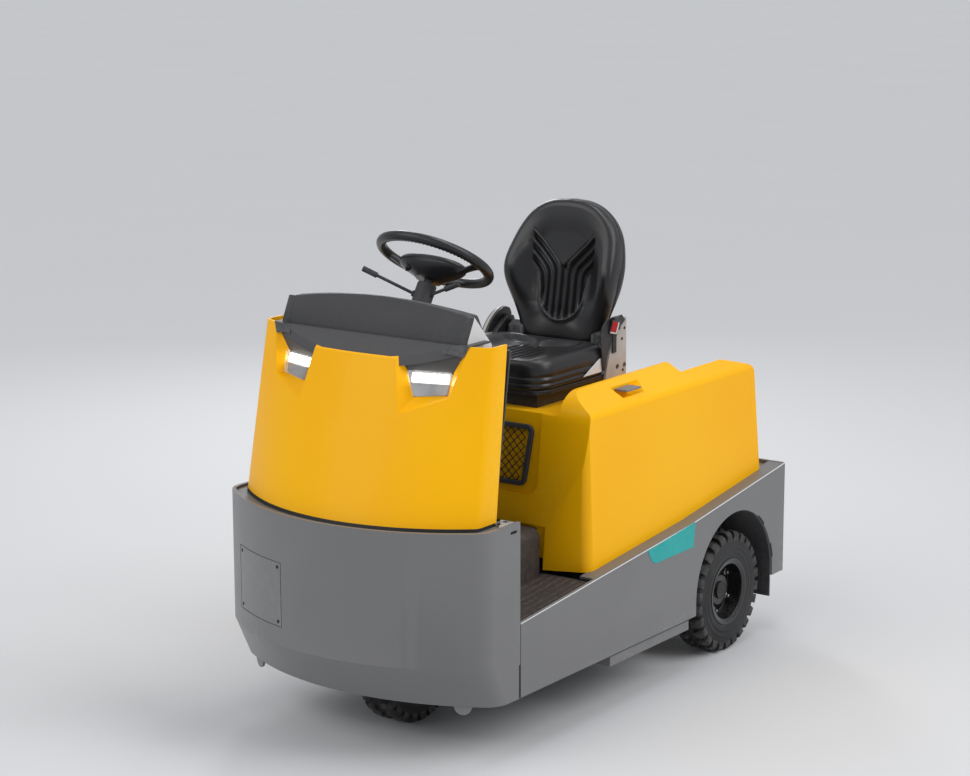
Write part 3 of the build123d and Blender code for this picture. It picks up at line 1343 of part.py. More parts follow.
# Net pocket's sizes, and the leaning plane of the console's face that carries it
POCKET_HALF = 234.0
POCKET_LOW_HALF = 212.0
POCKET_TOP_Z = 917.0
POCKET_BASE_Z = 719.0
POCKET_BAR = 16.0
POCKET_T = 14.0
pocket_h = POCKET_TOP_Z - POCKET_BASE_Z
face_rise = HOOD_RIDGE_Z - skirt_top(HOOD_FRONT_Y)
face_lean = math.atan2(HOOD_FRONT_LEAN, face_rise)
pocket_foot = HOOD_FRONT_Y + HOOD_FRONT_LEAN * (POCKET_BASE_Z - skirt_top(HOOD_FRONT_Y)) / face_rise
console_face = Plane(
    origin=(0, pocket_foot, POCKET_BASE_Z),
    x_dir=(1, 0, 0),
    z_dir=(0, -math.cos(face_lean), math.sin(face_lean)),
)


def console_panel(grow):
    """Shallow panel sunk into the console's face around the net pocket, open at its top."""
    half = POCKET_HALF + PANEL_MARGIN + grow
    with BuildPart(mode=Mode.PRIVATE) as panel:
        with BuildSketch(console_face.offset(-PANEL_DEPTH - grow)):
            with Locations((0, -PANEL_MARGIN - grow)):
                Rectangle(2 * half, HOOD_RIDGE_Z - POCKET_BASE_Z, align=(Align.CENTER, Align.MIN))
            fillet(vertices().group_by(Axis.Y)[0], PANEL_R + grow)
        extrude(amount=HOOD_SHOULDER)
    return panel.part


def grip_recess(grow):
    """Finger grips in the tops of the pontoons, each with a ramp at its rear."""
    grip_y = HOOD_FRONT_Y + GRIP_RUN
    grip_end = grip_y + GRIP_LENGTH + grow
    with BuildPart(mode=Mode.PRIVATE) as grip:
        with BuildSketch(side_plane(GRIP_X - GRIP_W / 2 - grow)):
            with BuildLine():
                Polyline(
                    (grip_y - grow, BACK_TOP_Z),
                    (grip_y - grow, GRIP_Z - grow),
                    (grip_y + GRIP_LENGTH / 2, GRIP_Z - grow),
                    (grip_end, HOOD_RIDGE_Z - grow),
                    (grip_end, BACK_TOP_Z),
                    close=True,
                )
            make_face()
        extrude(amount=GRIP_W + 2 * grow)
        mirror(about=Plane.YZ)
    return grip.part


# Battery hood: a hollow moulding with two pontoons, the seat deck and a tray behind the seat
hood_outside = hood_block(0.0) - hood_well(0.0) - console_panel(0.0) - grip_recess(0.0)
hood_inside = hood_block(HOOD_WALL) - hood_well(HOOD_WALL) - console_panel(HOOD_WALL) - grip_recess(HOOD_WALL)
with BuildPart() as battery_hood:
    add(hood_outside)
    add(hood_inside, mode=Mode.SUBTRACT)
    notch_half = PLATFORM_HALF + OPEN_GAP
    with Locations((0, HOOD_FRONT_Y + HOOD_WALL, PLATFORM_Z + SEAT_GAP)):
        Box(
            2 * notch_half,
            4 * HOOD_WALL,
            BATTERY_H,
            align=(Align.CENTER, Align.CENTER, Align.MAX),
            mode=Mode.SUBTRACT,
        )
    for side in (-1, 1):
        with BuildSketch(side_plane(side * HINGE_X - HINGE_EAR / 2)):
            with Locations((HINGE_Y, HINGE_Z)):
                Circle(HINGE_EYE)
            with Locations((HINGE_Y, HINGE_Z)):
                Rectangle(HINGE_Y - HOOD_REAR_Y + HOOD_WALL, 1.6 * HINGE_EYE, align=(Align.MAX, Align.CENTER))
            with Locations((HINGE_Y, HINGE_Z)):
                Circle(HINGE_R + RUN_GAP, mode=Mode.SUBTRACT)
        extrude(amount=HINGE_EAR)
save(battery_hood, "battery_hood")

# Net pocket: a tapered frame on the console's sunken panel
with BuildPart() as pocket_frame:
    with BuildSketch(console_face.offset(SEAT_GAP - PANEL_DEPTH)):
        with BuildLine():
            Polyline(
                (-POCKET_LOW_HALF, 0),
                (POCKET_LOW_HALF, 0),
                (POCKET_HALF, pocket_h),
                (-POCKET_HALF, pocket_h),
                close=True,
            )
        make_face()
        fillet(vertices(), 1.5 * POCKET_BAR)
        offset(amount=-POCKET_BAR, mode=Mode.SUBTRACT)
    extrude(amount=POCKET_T)
save(pocket_frame, "pocket_frame")

# Seat base: a plinth and a pan on the deck, with two arms and the shaft that carries the backrest
with BuildPart() as seat_base:
    base_front = SEAT_FRONT_Y + PLINTH_INSET
    base_back = ARM_Y + ARM_REACH
    with Locations((0, (base_front + base_back) / 2, (DECK_Z + CUSHION_Z - PAN_T) / 2)):
        Box(2 * (SEAT_HALF - PLINTH_INSET), base_back - base_front, CUSHION_Z - PAN_T - DECK_Z)
    with BuildSketch(Plane.XY.offset(CUSHION_Z - PAN_T)):
        pan_front = SEAT_FRONT_Y + PAN_EDGE
        with Locations((0, (pan_front + base_back) / 2)):
            Rectangle(2 * (ARM_X + ARM_T / 2), base_back - pan_front)
        fillet(vertices().group_by(Axis.Y)[0], CUSHION_CORNER_R)
    extrude(amount=PAN_T)
    for arm_x in (-ARM_X - ARM_T / 2, ARM_X - ARM_T / 2):
        with BuildSketch(side_plane(arm_x)):
            with Locations((ARM_Y, SHAFT_Z)):
                Circle(ARM_R)
            with Locations((ARM_Y, CUSHION_Z - PAN_T / 2)):
                Rectangle(ARM_FOOT, PAN_T)
            make_hull()
        extrude(amount=ARM_T)
    with BuildSketch(side_plane(0)):
        with Locations((ARM_Y, SHAFT_Z)):
            Circle(SHAFT_R)
    extrude(amount=ARM_X, both=True)
save(seat_base, "seat_base")

# Seat bracket: the pale drilled plate on the seat's left, with a rounded front edge
bracket_x = ARM_X + ARM_T / 2 + SEAT_GAP
bracket_rear = ARM_Y + ARM_REACH
bracket_front = bracket_rear - BRACKET_LENGTH
bracket_top = BRACKET_FOOT_Z + BRACKET_H
with BuildPart() as seat_bracket:
    with BuildSketch(side_plane(bracket_x)):
        with BuildLine():
            SagittaArc((bracket_front, BRACKET_FOOT_Z), (bracket_rear, bracket_top), BRACKET_BULGE)
            Polyline(
                (bracket_rear, bracket_top), (bracket_rear, BRACKET_FOOT_Z), (bracket_front, BRACKET_FOOT_Z)
            )
        make_face()
        with Locations((bracket_rear - BRACKET_LENGTH / 4, BRACKET_FOOT_Z + BRACKET_LENGTH / 3)):
            with GridLocations(BRACKET_LENGTH / 3, BRACKET_H / 4, 2, 1):
                Circle(BRACKET_HOLE_R, mode=Mode.SUBTRACT)
    extrude(amount=BRACKET_T)
save(seat_bracket, "seat_bracket")

# Hip restraint: the curved guard on the seat's right
with BuildPart() as hip_restraint:
    guard_back = ARM_Y + GUARD_REAR
    guard_tip = ARM_Y - GUARD_REACH
    guard_mid = (guard_back + guard_tip) / 2
    guard_low = GUARD_TIP_Z - GUARD_TIP_H
    with BuildSketch(side_plane(-bracket_x)):
        with BuildLine():
            Line((guard_back, GUARD_LOW_Z), (guard_back, GUARD_KNEE_Z))
            ThreePointArc((guard_back, GUARD_KNEE_Z), (guard_mid, GUARD_CROWN_Z), (guard_tip, GUARD_TIP_Z))
            Line((guard_tip, GUARD_TIP_Z), (guard_tip, guard_low))
            ThreePointArc(
                (guard_tip, guard_low), (guard_mid, GUARD_CROWN_Z - GUARD_SAG), (guard_back, GUARD_LOW_Z)
            )
        make_face()
    extrude(amount=-GUARD_T)
save(hip_restraint, "hip_restraint")

# Belt buckle on its short stalk
buckle_x = bracket_x + BRACKET_T + SEAT_GAP
with BuildPart() as belt_buckle:
    with Locations((buckle_x, ARM_Y - BUCKLE_SETBACK, STALK_Z)):
        Box(STALK_T, STALK_W, BUCKLE_Z - STALK_Z, align=(Align.MIN, Align.CENTER, Align.MIN))
    with Locations((buckle_x, ARM_Y - BUCKLE_SETBACK, BUCKLE_Z)):
        Box(BUCKLE_T, BUCKLE_W, BUCKLE_H, align=(Align.MIN, Align.CENTER, Align.MIN))
save(belt_buckle, "belt_buckle")

# Seat cushion: a rounded pad on the pan
with BuildPart() as seat_cushion:
    with BuildSketch(Plane.XY.offset(CUSHION_Z + SEAT_GAP)):
        with Locations((0, (SEAT_FRONT_Y + SEAT_REAR_Y) / 2)):
            RectangleRounded(2 * SEAT_HALF, SEAT_LENGTH, CUSHION_CORNER_R)
    extrude(amount=CUSHION_T - SEAT_GAP)
    fillet(seat_cushion.edges().group_by(Axis.Z)[-1], CUSHION_EDGE_R)
save(seat_cushion, "seat_cushion")

# Backrest: a winged pad with an arched top and a narrow waist
back_plane = Plane(
    origin=(0, SEAT_REAR_Y + OPEN_GAP, BACK_BOTTOM_Z), x_dir=(1, 0, 0), z_dir=(0, -1, 0)
).rotated((-BACK_LEAN, 0, 0))
back_long = BACK_H / math.cos(math.radians(BACK_LEAN))
with BuildPart() as seat_back:
    with BuildSketch(back_plane):
        with BuildLine():
            shoulder = (BACK_SHOULDER_HALF, back_long - BACK_SHOULDER_DROP)
            waist = (BACK_WAIST_HALF, BACK_WAIST_RISE)
            crown = (BACK_SHOULDER_HALF / 2, back_long - BACK_SHOULDER_DROP / 5)
            ThreePointArc((0, back_long), crown, shoulder)
            Spline(shoulder, (BACK_HALF, BACK_WING_RISE), waist, (BACK_FOOT_HALF, 0))
            Line((BACK_FOOT_HALF, 0), (0, 0))
            Line((0, 0), (0, back_long))
        make_face()
        mirror(about=Plane.YZ)
    extrude(amount=-BACK_T)
    fillet(seat_back.faces().sort_by(Axis.Y)[0].edges(), BACK_EDGE_R)
    with BuildSketch(side_plane(0)):
        with Locations((ARM_Y, SHAFT_Z)):
            Circle(SHAFT_R + SEAT_GAP)
    extrude(amount=BACK_HALF, both=True, mode=Mode.SUBTRACT)
save(seat_back, "seat_back")
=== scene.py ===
"""Looks of a seated electric tow tractor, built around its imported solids.

Lengths are metres in the part's own frame: +Z is up, the front faces -Y and +X is the left side.
"""
import math

import bmesh
import bpy
from mathutils import Matrix, Vector


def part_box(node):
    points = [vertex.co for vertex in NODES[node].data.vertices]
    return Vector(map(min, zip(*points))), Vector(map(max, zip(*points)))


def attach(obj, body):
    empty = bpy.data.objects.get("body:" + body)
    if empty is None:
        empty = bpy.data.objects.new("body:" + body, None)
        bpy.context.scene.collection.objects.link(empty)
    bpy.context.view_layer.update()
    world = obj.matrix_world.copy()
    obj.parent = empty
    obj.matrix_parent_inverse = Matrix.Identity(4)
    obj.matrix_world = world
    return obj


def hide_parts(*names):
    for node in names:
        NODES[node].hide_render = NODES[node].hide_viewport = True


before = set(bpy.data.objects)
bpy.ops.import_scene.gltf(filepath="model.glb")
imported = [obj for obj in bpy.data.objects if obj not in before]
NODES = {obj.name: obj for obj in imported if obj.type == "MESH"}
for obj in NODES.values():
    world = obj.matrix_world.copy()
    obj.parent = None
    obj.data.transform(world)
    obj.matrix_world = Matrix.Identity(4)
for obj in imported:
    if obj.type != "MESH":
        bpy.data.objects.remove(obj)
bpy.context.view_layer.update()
MM = 0.001


# Shader groups

def srgb(red, green, blue):
    """Linear colour from 8-bit display values."""
    def channel(value):
        value = value / 255
        return value / 12.92 if value <= 0.04045 else ((value + 0.055) / 1.055) ** 2.4

    return channel(red), channel(green), channel(blue), 1.0


def new_group(name, inputs, outputs, tree_kind="ShaderNodeTree"):
    """Empty node group with named sockets; an input is (name, kind, default or None)."""
    tree = bpy.data.node_groups.new(name, tree_kind)
    for label, kind, default in inputs:
        socket = tree.interface.new_socket(label, in_out="INPUT", socket_type=kind)
        if default is not None:
            socket.default_value = default
    for label, kind in outputs:
        tree.interface.new_socket(label, in_out="OUTPUT", socket_type=kind)
    return tree, tree.nodes.new("NodeGroupInput"), tree.nodes.new("NodeGroupOutput")


def feed(tree, node, inputs):
    """Sets a node's inputs to values, or links outputs to them."""
    for label, value in inputs.items():
        if isinstance(value, bpy.types.NodeSocket):
            tree.links.new(value, node.inputs[label])
        else:
            node.inputs[label].default_value = value
    return node


def add_node(tree, kind, inputs):
    """New node with its inputs fed."""
    return feed(tree, tree.nodes.new(kind), inputs)


def add_noise(tree, scale, detail):
    """Noise on Object coordinates."""
    place = tree.nodes.new("ShaderNodeTexCoord").outputs["Object"]
    noise = add_node(tree, "ShaderNodeTexNoise", {"Vector": place, "Scale": scale, "Detail": detail})
    return noise.outputs["Fac"]


def add_math(tree, operation, first, second):
    """Math node whose two operands are numbers or outputs."""
    node = add_node(tree, "ShaderNodeMath", {0: first, 1: second})
    node.operation = operation
    return node.outputs[0]


def add_range(tree, value, low, high, to_low=0.0, to_high=1.0):
    """Smooth remap of a value from one range to another."""
    node = add_node(tree, "ShaderNodeMapRange", {
        "Value": value, "From Min": low, "From Max": high, "To Min": to_low, "To Max": to_high})
    node.interpolation_type = "SMOOTHSTEP"
    return node.outputs["Result"]


def add_mix(tree, factor, first, second):
    """Colour mix of two colours or outputs by an output factor."""
    node = tree.nodes.new("ShaderNodeMix")
    node.data_type = "RGBA"
    tree.links.new(factor, node.inputs["Factor"])
    for label, value in (("A", first), ("B", second)):
        socket = next(s for s in node.inputs if s.name == label and s.type == "RGBA")
        if isinstance(value, tuple):
            socket.default_value = value
        else:
            tree.links.new(value, socket)
    return next(s for s in node.outputs if s.type == "RGBA")


def moulded_grain_group():
    """Fine pebble of a mould's or a spray coat's surface, as a height."""
    tree, entry, leave = new_group(
        "moulded_grain", [("Scale", "NodeSocketFloat", 900.0)], [("Height", "NodeSocketFloat")])
    place = tree.nodes.new("ShaderNodeTexCoord").outputs["Object"]
    pebble = add_node(tree, "ShaderNodeTexVoronoi", {"Vector": place, "Scale": entry.outputs["Scale"]})
    feed(tree, leave, {"Height": pebble.outputs["Distance"]})
    return tree


def cloudy_tone_group():
    """Slow change of tone over a surface, between a colour and its shade."""
    tree, entry, leave = new_group(
        "cloudy_tone",
        [
            ("Colour", "NodeSocketColor", (0.5, 0.5, 0.5, 1)),
            ("Shade", "NodeSocketColor", (0.4, 0.4, 0.4, 1)),
            ("Scale", "NodeSocketFloat", 4.0),
        ],
        [("Colour", "NodeSocketColor"), ("Cloud", "NodeSocketFloat")],
    )
    cloud = add_range(tree, add_noise(tree, entry.outputs["Scale"], 2.0), 0.35, 0.75)
    colour = add_mix(tree, cloud, entry.outputs["Colour"], entry.outputs["Shade"])
    feed(tree, leave, {"Colour": colour, "Cloud": cloud})
    return tree


def settled_dust_group():
    """Thin dust on faces that look up, broken by noise."""
    tree, entry, leave = new_group(
        "settled_dust",
        [
            ("Colour", "NodeSocketColor", (0.5, 0.5, 0.5, 1)),
            ("Dust", "NodeSocketColor", srgb(176, 170, 160)),
            ("Amount", "NodeSocketFloat", 0.1),
        ],
        [("Colour", "NodeSocketColor"), ("Mask", "NodeSocketFloat")],
    )
    normal = tree.nodes.new("ShaderNodeNewGeometry").outputs["Normal"]
    split = add_node(tree, "ShaderNodeSeparateXYZ", {0: normal})
    facing = add_range(tree, split.outputs["Z"], 0.35, 1.0)
    patch = add_range(tree, add_noise(tree, 90.0, 3.0), 0.30, 0.80)
    mask = add_math(tree, "MULTIPLY", facing, patch)
    mask = add_math(tree, "MULTIPLY", mask, entry.outputs["Amount"])
    colour = add_mix(tree, mask, entry.outputs["Colour"], entry.outputs["Dust"])
    feed(tree, leave, {"Colour": colour, "Mask": mask})
    return tree


def edge_wear_and_sheen_group():
    """Lighter convex edges, broken by noise: rubbed wear, and on the grey paint partly a painted highlight.
    """
    tree, entry, leave = new_group(
        "rubbed_edges_and_sheen",
        [
            ("Colour", "NodeSocketColor", (0.5, 0.5, 0.5, 1)),
            ("Bare", "NodeSocketColor", (0.7, 0.7, 0.7, 1)),
            ("Amount", "NodeSocketFloat", 0.3),
        ],
        [("Colour", "NodeSocketColor"), ("Mask", "NodeSocketFloat")],
    )
    point = tree.nodes.new("ShaderNodeNewGeometry").outputs["Pointiness"]
    ridge = add_range(tree, point, 0.52, 0.62)
    patch = add_range(tree, add_noise(tree, 60.0, 2.0), 0.35, 0.65)
    mask = add_math(tree, "MULTIPLY", ridge, patch)
    mask = add_math(tree, "MULTIPLY", mask, entry.outputs["Amount"])
    colour = add_mix(tree, mask, entry.outputs["Colour"], entry.outputs["Bare"])
    feed(tree, leave, {"Colour": colour, "Mask": mask})
    return tree


GRAIN = moulded_grain_group()
TONE = cloudy_tone_group()
DUST = settled_dust_group()
EDGE_WEAR_AND_SHEEN = edge_wear_and_sheen_group()


# Materials

def place_group(tree, group, values):
    """One use of a shader group, with its own values or linked outputs."""
    node = tree.nodes.new("ShaderNodeGroup")
    node.node_tree = group
    return feed(tree, node, values).outputs


def new_material(name):
    """Plain material, with its tree and its shader."""
    material = bpy.data.materials.new(name)
    material.use_nodes = True
    return material, material.node_tree, material.node_tree.nodes["Principled BSDF"]


def add_bump(tree, shader, height, strength):
    """Fine bumps on a shader's surface, from a height."""
    bump = add_node(tree, "ShaderNodeBump", {"Strength": strength, "Distance": MM, "Height": height})
    feed(tree, shader, {"Normal": bump.outputs["Normal"]})


def surface(name, colour, shade, roughness, *, tone_scale=3.0, dust=0.0, bare=None, rub=0.0,
            grain=900.0, bump=0.05, spread=0.08, metallic=0.0, coat=0.0, coat_roughness=0.1, gloss=0.4):
    """Solid surface: cloudy tone, lighter edges (rubbed wear, on the grey paint partly a painted highlight)
    and dust in its colour, grain in its bump.
    """
    material, tree, shader = new_material(name)
    tone = place_group(tree, TONE, {"Colour": srgb(*colour), "Shade": srgb(*shade), "Scale": tone_scale})
    look = tone["Colour"]
    if rub > 0:
        look = place_group(tree, EDGE_WEAR_AND_SHEEN, {"Colour": look, "Bare": srgb(*bare), "Amount": rub})["Colour"]
    rough = add_range(tree, tone["Cloud"], 0.0, 1.0, roughness - spread / 2, roughness + spread / 2)
    if dust > 0:
        film = place_group(tree, DUST, {"Colour": look, "Amount": dust})
        look = film["Colour"]
        rough = add_math(tree, "ADD", rough, film["Mask"])
    feed(tree, shader, {
        "Base Color": look, "Roughness": rough, "Metallic": metallic, "Specular IOR Level": gloss,
        "Coat Weight": coat, "Coat Roughness": coat_roughness})
    add_bump(tree, shader, place_group(tree, GRAIN, {"Scale": grain})["Height"], bump)
    return material


def lamp_glass():
    """Clear polycarbonate cover with a faint moulded ripple."""
    material, tree, shader = new_material("lamp_glass")
    feed(tree, shader, {"Base Color": (0.90, 0.92, 0.94, 1), "Roughness": 0.05, "IOR": 1.5, "Alpha": 0.16})
    add_bump(tree, shader, add_noise(tree, 160.0, 1.0), 0.05)
    return material


def lamp_light():
    """Lit lamp cells, a little uneven from one spot to the next."""
    material, tree, shader = new_material("lamp_light")
    glow = add_range(tree, add_noise(tree, 70.0, 2.0), 0.3, 0.7)
    tint = add_mix(tree, glow, (1.0, 0.90, 0.74, 1), (1.0, 0.98, 0.94, 1))
    feed(tree, shader, {
        "Base Color": tint, "Emission Color": tint, "Emission Strength": 9.0, "Roughness": 0.3})
    return material


# Each finish: colour and shade as 8-bit display values, roughness, and the rest by name.
LOOKS = {
    "yellow_moulding": ((253, 186, 0), (251, 180, 0), 0.36, dict(
        tone_scale=1.6, dust=0.03, bare=(255, 206, 60), rub=0.25, grain=420.0, bump=0.035, coat=0.05,
        coat_roughness=0.12, gloss=0.16)),
    # Grey paint: its lighter bare edges are partly wear and partly a painted highlight along the rounded
    # edges.
    "grey_paint": ((114, 114, 115), (110, 110, 111), 0.36, dict(
        tone_scale=2.2, dust=0.05, bare=(158, 159, 160), rub=0.2, grain=700.0, bump=0.06, gloss=0.5)),
    "dark_plastic": ((62, 62, 64), (57, 57, 59), 0.52, dict(
        tone_scale=3.0, dust=0.03, bare=(96, 96, 99), rub=0.3, grain=1100.0, bump=0.16, gloss=0.3)),
    # Painted light: the dash's dark plastic made lighter for the sloping shelf, which catches more light.
    "shelf_plastic_lit": ((74, 74, 75), (68, 68, 69), 0.5, dict(
        tone_scale=2.0, dust=0.03, bare=(128, 128, 128), rub=0.2, grain=1100.0, bump=0.12, gloss=0.3)),
    "pale_plastic": ((216, 217, 218), (208, 209, 211), 0.4, dict(
        dust=0.06, bare=(222, 222, 224), rub=0.2, grain=1000.0, bump=0.08)),
    "lamp_case": ((150, 150, 152), (120, 120, 122), 0.22, dict(
        grain=300.0, bump=0.02, metallic=0.7)),
    "floor_rubber": ((62, 55, 53), (54, 48, 46), 0.55, dict(
        tone_scale=4.0, dust=0.08, bare=(112, 105, 100), rub=0.5, grain=800.0, bump=0.14)),
    "tyre_rubber": ((40, 40, 41), (31, 31, 32), 0.62, dict(
        tone_scale=9.0, dust=0.16, bare=(88, 87, 85), rub=0.5, grain=650.0, bump=0.18)),
    "rim_black": ((24, 24, 25), (18, 18, 19), 0.3, dict(
        dust=0.08, bare=(92, 92, 93), rub=0.5, grain=600.0, bump=0.05, coat=0.3)),
    "seat_vinyl": ((30, 30, 32), (25, 25, 27), 0.32, dict(
        tone_scale=5.0, dust=0.02, bare=(56, 56, 58), rub=0.2, grain=1500.0, bump=0.08, gloss=0.45)),
    "seat_metal": ((38, 38, 40), (30, 30, 32), 0.4, dict(
        dust=0.1, bare=(110, 110, 112), rub=0.4, grain=800.0, bump=0.06)),
    "bracket_grey": ((176, 172, 168), (160, 154, 150), 0.42, dict(
        tone_scale=8.0, dust=0.06, bare=(214, 212, 210), rub=0.3, grain=700.0, bump=0.05)),
    "buckle_red": ((190, 22, 28), (170, 16, 22), 0.32, dict(
        grain=900.0, bump=0.04)),
    "frame_black": ((34, 34, 35), (27, 27, 28), 0.5, dict(
        tone_scale=6.0, dust=0.22, bare=(90, 88, 85), rub=0.4, grain=500.0, bump=0.1)),
    "axle_iron": ((36, 36, 37), (28, 28, 28), 0.55, dict(
        tone_scale=14.0, dust=0.10, bare=(118, 114, 108), rub=0.5, grain=350.0, bump=0.3)),
    "battery_case": ((70, 72, 76), (58, 60, 64), 0.5, dict(
        tone_scale=6.0, dust=0.3, bare=(120, 120, 122), rub=0.4, grain=700.0, bump=0.08)),
    "coupling_steel": ((72, 72, 74), (54, 53, 52), 0.45, dict(
        tone_scale=18.0, dust=0.14, bare=(168, 164, 158), rub=0.7, grain=300.0, bump=0.16, metallic=0.5)),
    "tail_lens": ((168, 14, 16), (140, 8, 10), 0.18, dict(
        grain=260.0, bump=0.05, coat=0.6)),
    "bright_screw": ((150, 150, 153), (112, 112, 114), 0.3, dict(
        tone_scale=90.0, bare=(205, 205, 206), rub=0.4, grain=500.0, bump=0.05, metallic=0.9)),
    "dark_screw": ((44, 44, 46), (34, 34, 36), 0.38, dict(
        tone_scale=90.0, grain=500.0, bump=0.05, metallic=0.5)),
    "teal_plate": ((0, 163, 160), (0, 154, 152), 0.35, dict(
        tone_scale=6.0, dust=0.05, bare=(70, 190, 188), rub=0.2, grain=800.0, bump=0.03)),
    "steering_grip": ((34, 34, 36), (26, 26, 28), 0.34, dict(
        tone_scale=6.0, dust=0.04, bare=(70, 70, 72), rub=0.25, grain=1300.0, bump=0.05)),
    "net_cord": ((26, 26, 28), (18, 18, 20), 0.75, dict(
        tone_scale=60.0, grain=2600.0, bump=0.4)),
    # Black trim, and also painted shade: the dark strips in the gaps under the skirts and at the bumper
    # joints use this finish.
    "black_trim_and_gap_shade": ((26, 26, 27), (20, 20, 21), 0.6, dict(
        grain=900.0, bump=0.05)),
}
FINISHES = {name: surface(name, *main, **more) for name, (*main, more) in LOOKS.items()}
FINISHES.update(lamp_glass=lamp_glass(), lamp_light=lamp_light())


# Mesh helpers

def at_mm(x, y, z):
    """Point or way given in millimetres."""
    return Vector((x, y, z)) * MM


def leaning(foot, lean, x, back, up):
    """Point in metres from millimetres across, back and up, on axes at a foot that lean to the rear."""
    rear = Vector((0, math.cos(lean), -math.sin(lean)))
    rise = Vector((0, math.sin(lean), math.cos(lean)))
    return foot + (Vector((1, 0, 0)) * x + rear * back + rise * up) * MM


def turns(count):
    """Even angles once round."""
    return [math.tau * step / count for step in range(count)]


def link(name, mesh):
    """New object for a finished mesh, in the scene at the origin."""
    piece = bpy.data.objects.new(name, mesh)
    bpy.context.scene.collection.objects.link(piece)
    return piece


def settle(piece, body, finish, replaces=()):
    """Gives a piece its finish, its body and the solids that it stands for."""
    piece.data.materials.clear()
    piece.data.materials.append(FINISHES[finish])
    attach(piece, body)
    if replaces:
        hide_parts(*replaces)
    return piece


def mark_sharp(bm, angle_deg):
    """Smooth faces, with edges sharper than an angle kept crisp."""
    limit = math.radians(angle_deg)
    for face in bm.faces:
        face.smooth = True
    for edge in bm.edges:
        edge.smooth = edge.calc_face_angle(0.0) < limit


def bake_modifiers(piece):
    """Turns a piece with modifiers into a plain mesh."""
    graph = bpy.context.evaluated_depsgraph_get()
    mesh = bpy.data.meshes.new_from_object(piece.evaluated_get(graph))
    piece.modifiers.clear()
    piece.data = mesh
    return piece


def add_bevel(piece, width, segments, angle_deg=32.0):
    """Rounds a piece's sharp edges."""
    bevel = piece.modifiers.new("rounded_edges", "BEVEL")
    bevel.width = width
    bevel.segments = segments
    bevel.limit_method = "ANGLE"
    bevel.angle_limit = math.radians(angle_deg)
    bevel.harden_normals = True
    bevel.use_clamp_overlap = True
    return bake_modifiers(piece)


def solid_copy(node, sharp_deg):
    """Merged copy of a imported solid's mesh, with flat stretches joined into single faces."""
    bm = bmesh.new()
    bm.from_mesh(NODES[node].data)
    bmesh.ops.remove_doubles(bm, verts=bm.verts, dist=0.02 * MM)
    bmesh.ops.dissolve_limit(
        bm, angle_limit=math.radians(0.25), verts=bm.verts, edges=bm.edges, use_dissolve_boundaries=False)
    mark_sharp(bm, sharp_deg)
    mesh = bpy.data.meshes.new(node + "_dressed")
    bm.to_mesh(mesh)
    bm.free()
    return mesh


def dress(node, body, finish, edge, segments=2, sharp_deg=30.0):
    """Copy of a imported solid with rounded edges, standing for it."""
    piece = link(node + "_dressed", solid_copy(node, sharp_deg))
    add_bevel(piece, edge, segments, sharp_deg + 2.0)
    return settle(piece, body, finish, (node,))


def ring_mesh(name, rings, wrap=False, sharp_deg=40.0):
    """Skin through rings of points; wrap joins the last to the first, and else both ends are capped."""
    bm = bmesh.new()
    loops = [[bm.verts.new(point) for point in ring] for ring in rings]
    count = len(loops[0])
    following = loops[1:] + loops[:1] if wrap else loops[1:]
    for first, second in zip(loops, following):
        for i in range(count):
            j = (i + 1) % count
            bm.faces.new((first[i], first[j], second[j], second[i]))
    if not wrap:
        bm.faces.new(loops[0])
        bm.faces.new(loops[-1])
    bmesh.ops.remove_doubles(bm, verts=bm.verts, dist=0.01 * MM)
    bmesh.ops.recalc_face_normals(bm, faces=bm.faces)
    mark_sharp(bm, sharp_deg)
    mesh = bpy.data.meshes.new(name)
    bm.to_mesh(mesh)
    bm.free()
    return link(name, mesh)


def join(name, pieces):
    """One piece from several, in the order given."""
    bm = bmesh.new()
    for piece in pieces:
        bm.from_mesh(piece.data)
        bpy.data.objects.remove(piece)
    mesh = bpy.data.meshes.new(name)
    bm.to_mesh(mesh)
    bm.free()
    return link(name, mesh)


def with_mirror_twin(piece):
    """Adds the piece's mirror image on the other side of the middle plane."""
    bm = bmesh.new()
    bm.from_mesh(piece.data)
    twin = bmesh.ops.duplicate(bm, geom=bm.verts[:] + bm.edges[:] + bm.faces[:])["geom"]
    for item in twin:
        if isinstance(item, bmesh.types.BMVert):
            item.co.x = -item.co.x
    bmesh.ops.reverse_faces(bm, faces=[item for item in twin if isinstance(item, bmesh.types.BMFace)])
    bm.to_mesh(piece.data)
    bm.free()
    return piece


def slab(name, outline, lift, edge, segments=2):
    """Flat plate from an outline of points, raised along a vector, with softened edges."""
    piece = ring_mesh(name, [outline, [point + lift for point in outline]])
    return add_bevel(piece, edge, segments, 50.0)


def smooth_line(points, steps):
    """Catmull-Rom curve through 2-D points, with steps samples from each to the next."""
    ends = [2 * points[0] - points[1]] + points + [2 * points[-1] - points[-2]]
    line = []
    for before, start, stop, after in zip(ends, ends[1:], ends[2:], ends[3:]):
        for step in range(steps):
            t = step / steps
            line.append(0.5 * (
                2 * start + (stop - before) * t + (2 * before - 5 * start + 4 * stop - after) * t**2
                + (3 * start - before - 3 * stop + after) * t**3))
    return line + [points[-1]]


def ease(value, low, high):
    """Smooth step from 0 at low to 1 at high."""
    t = min(max((value - low) / (high - low), 0.0), 1.0)
    return t * t * (3 - 2 * t)


# Geometry node trees

WASHER_SIDES = 20
WASHER_DEPTH = 2.0 * MM
HEAD_TAPER = 0.86
CORD_SIDES = 6


def new_tree(name, inputs):
    """Empty geometry tree with its own named inputs and a finish."""
    shape = ("Geometry", "NodeSocketGeometry")
    finish = ("Finish", "NodeSocketMaterial", None)
    tree, entry, leave = new_group(name, [(*shape, None), *inputs, finish], [shape], "GeometryNodeTree")
    tree.is_modifier = True
    return tree, entry, leave


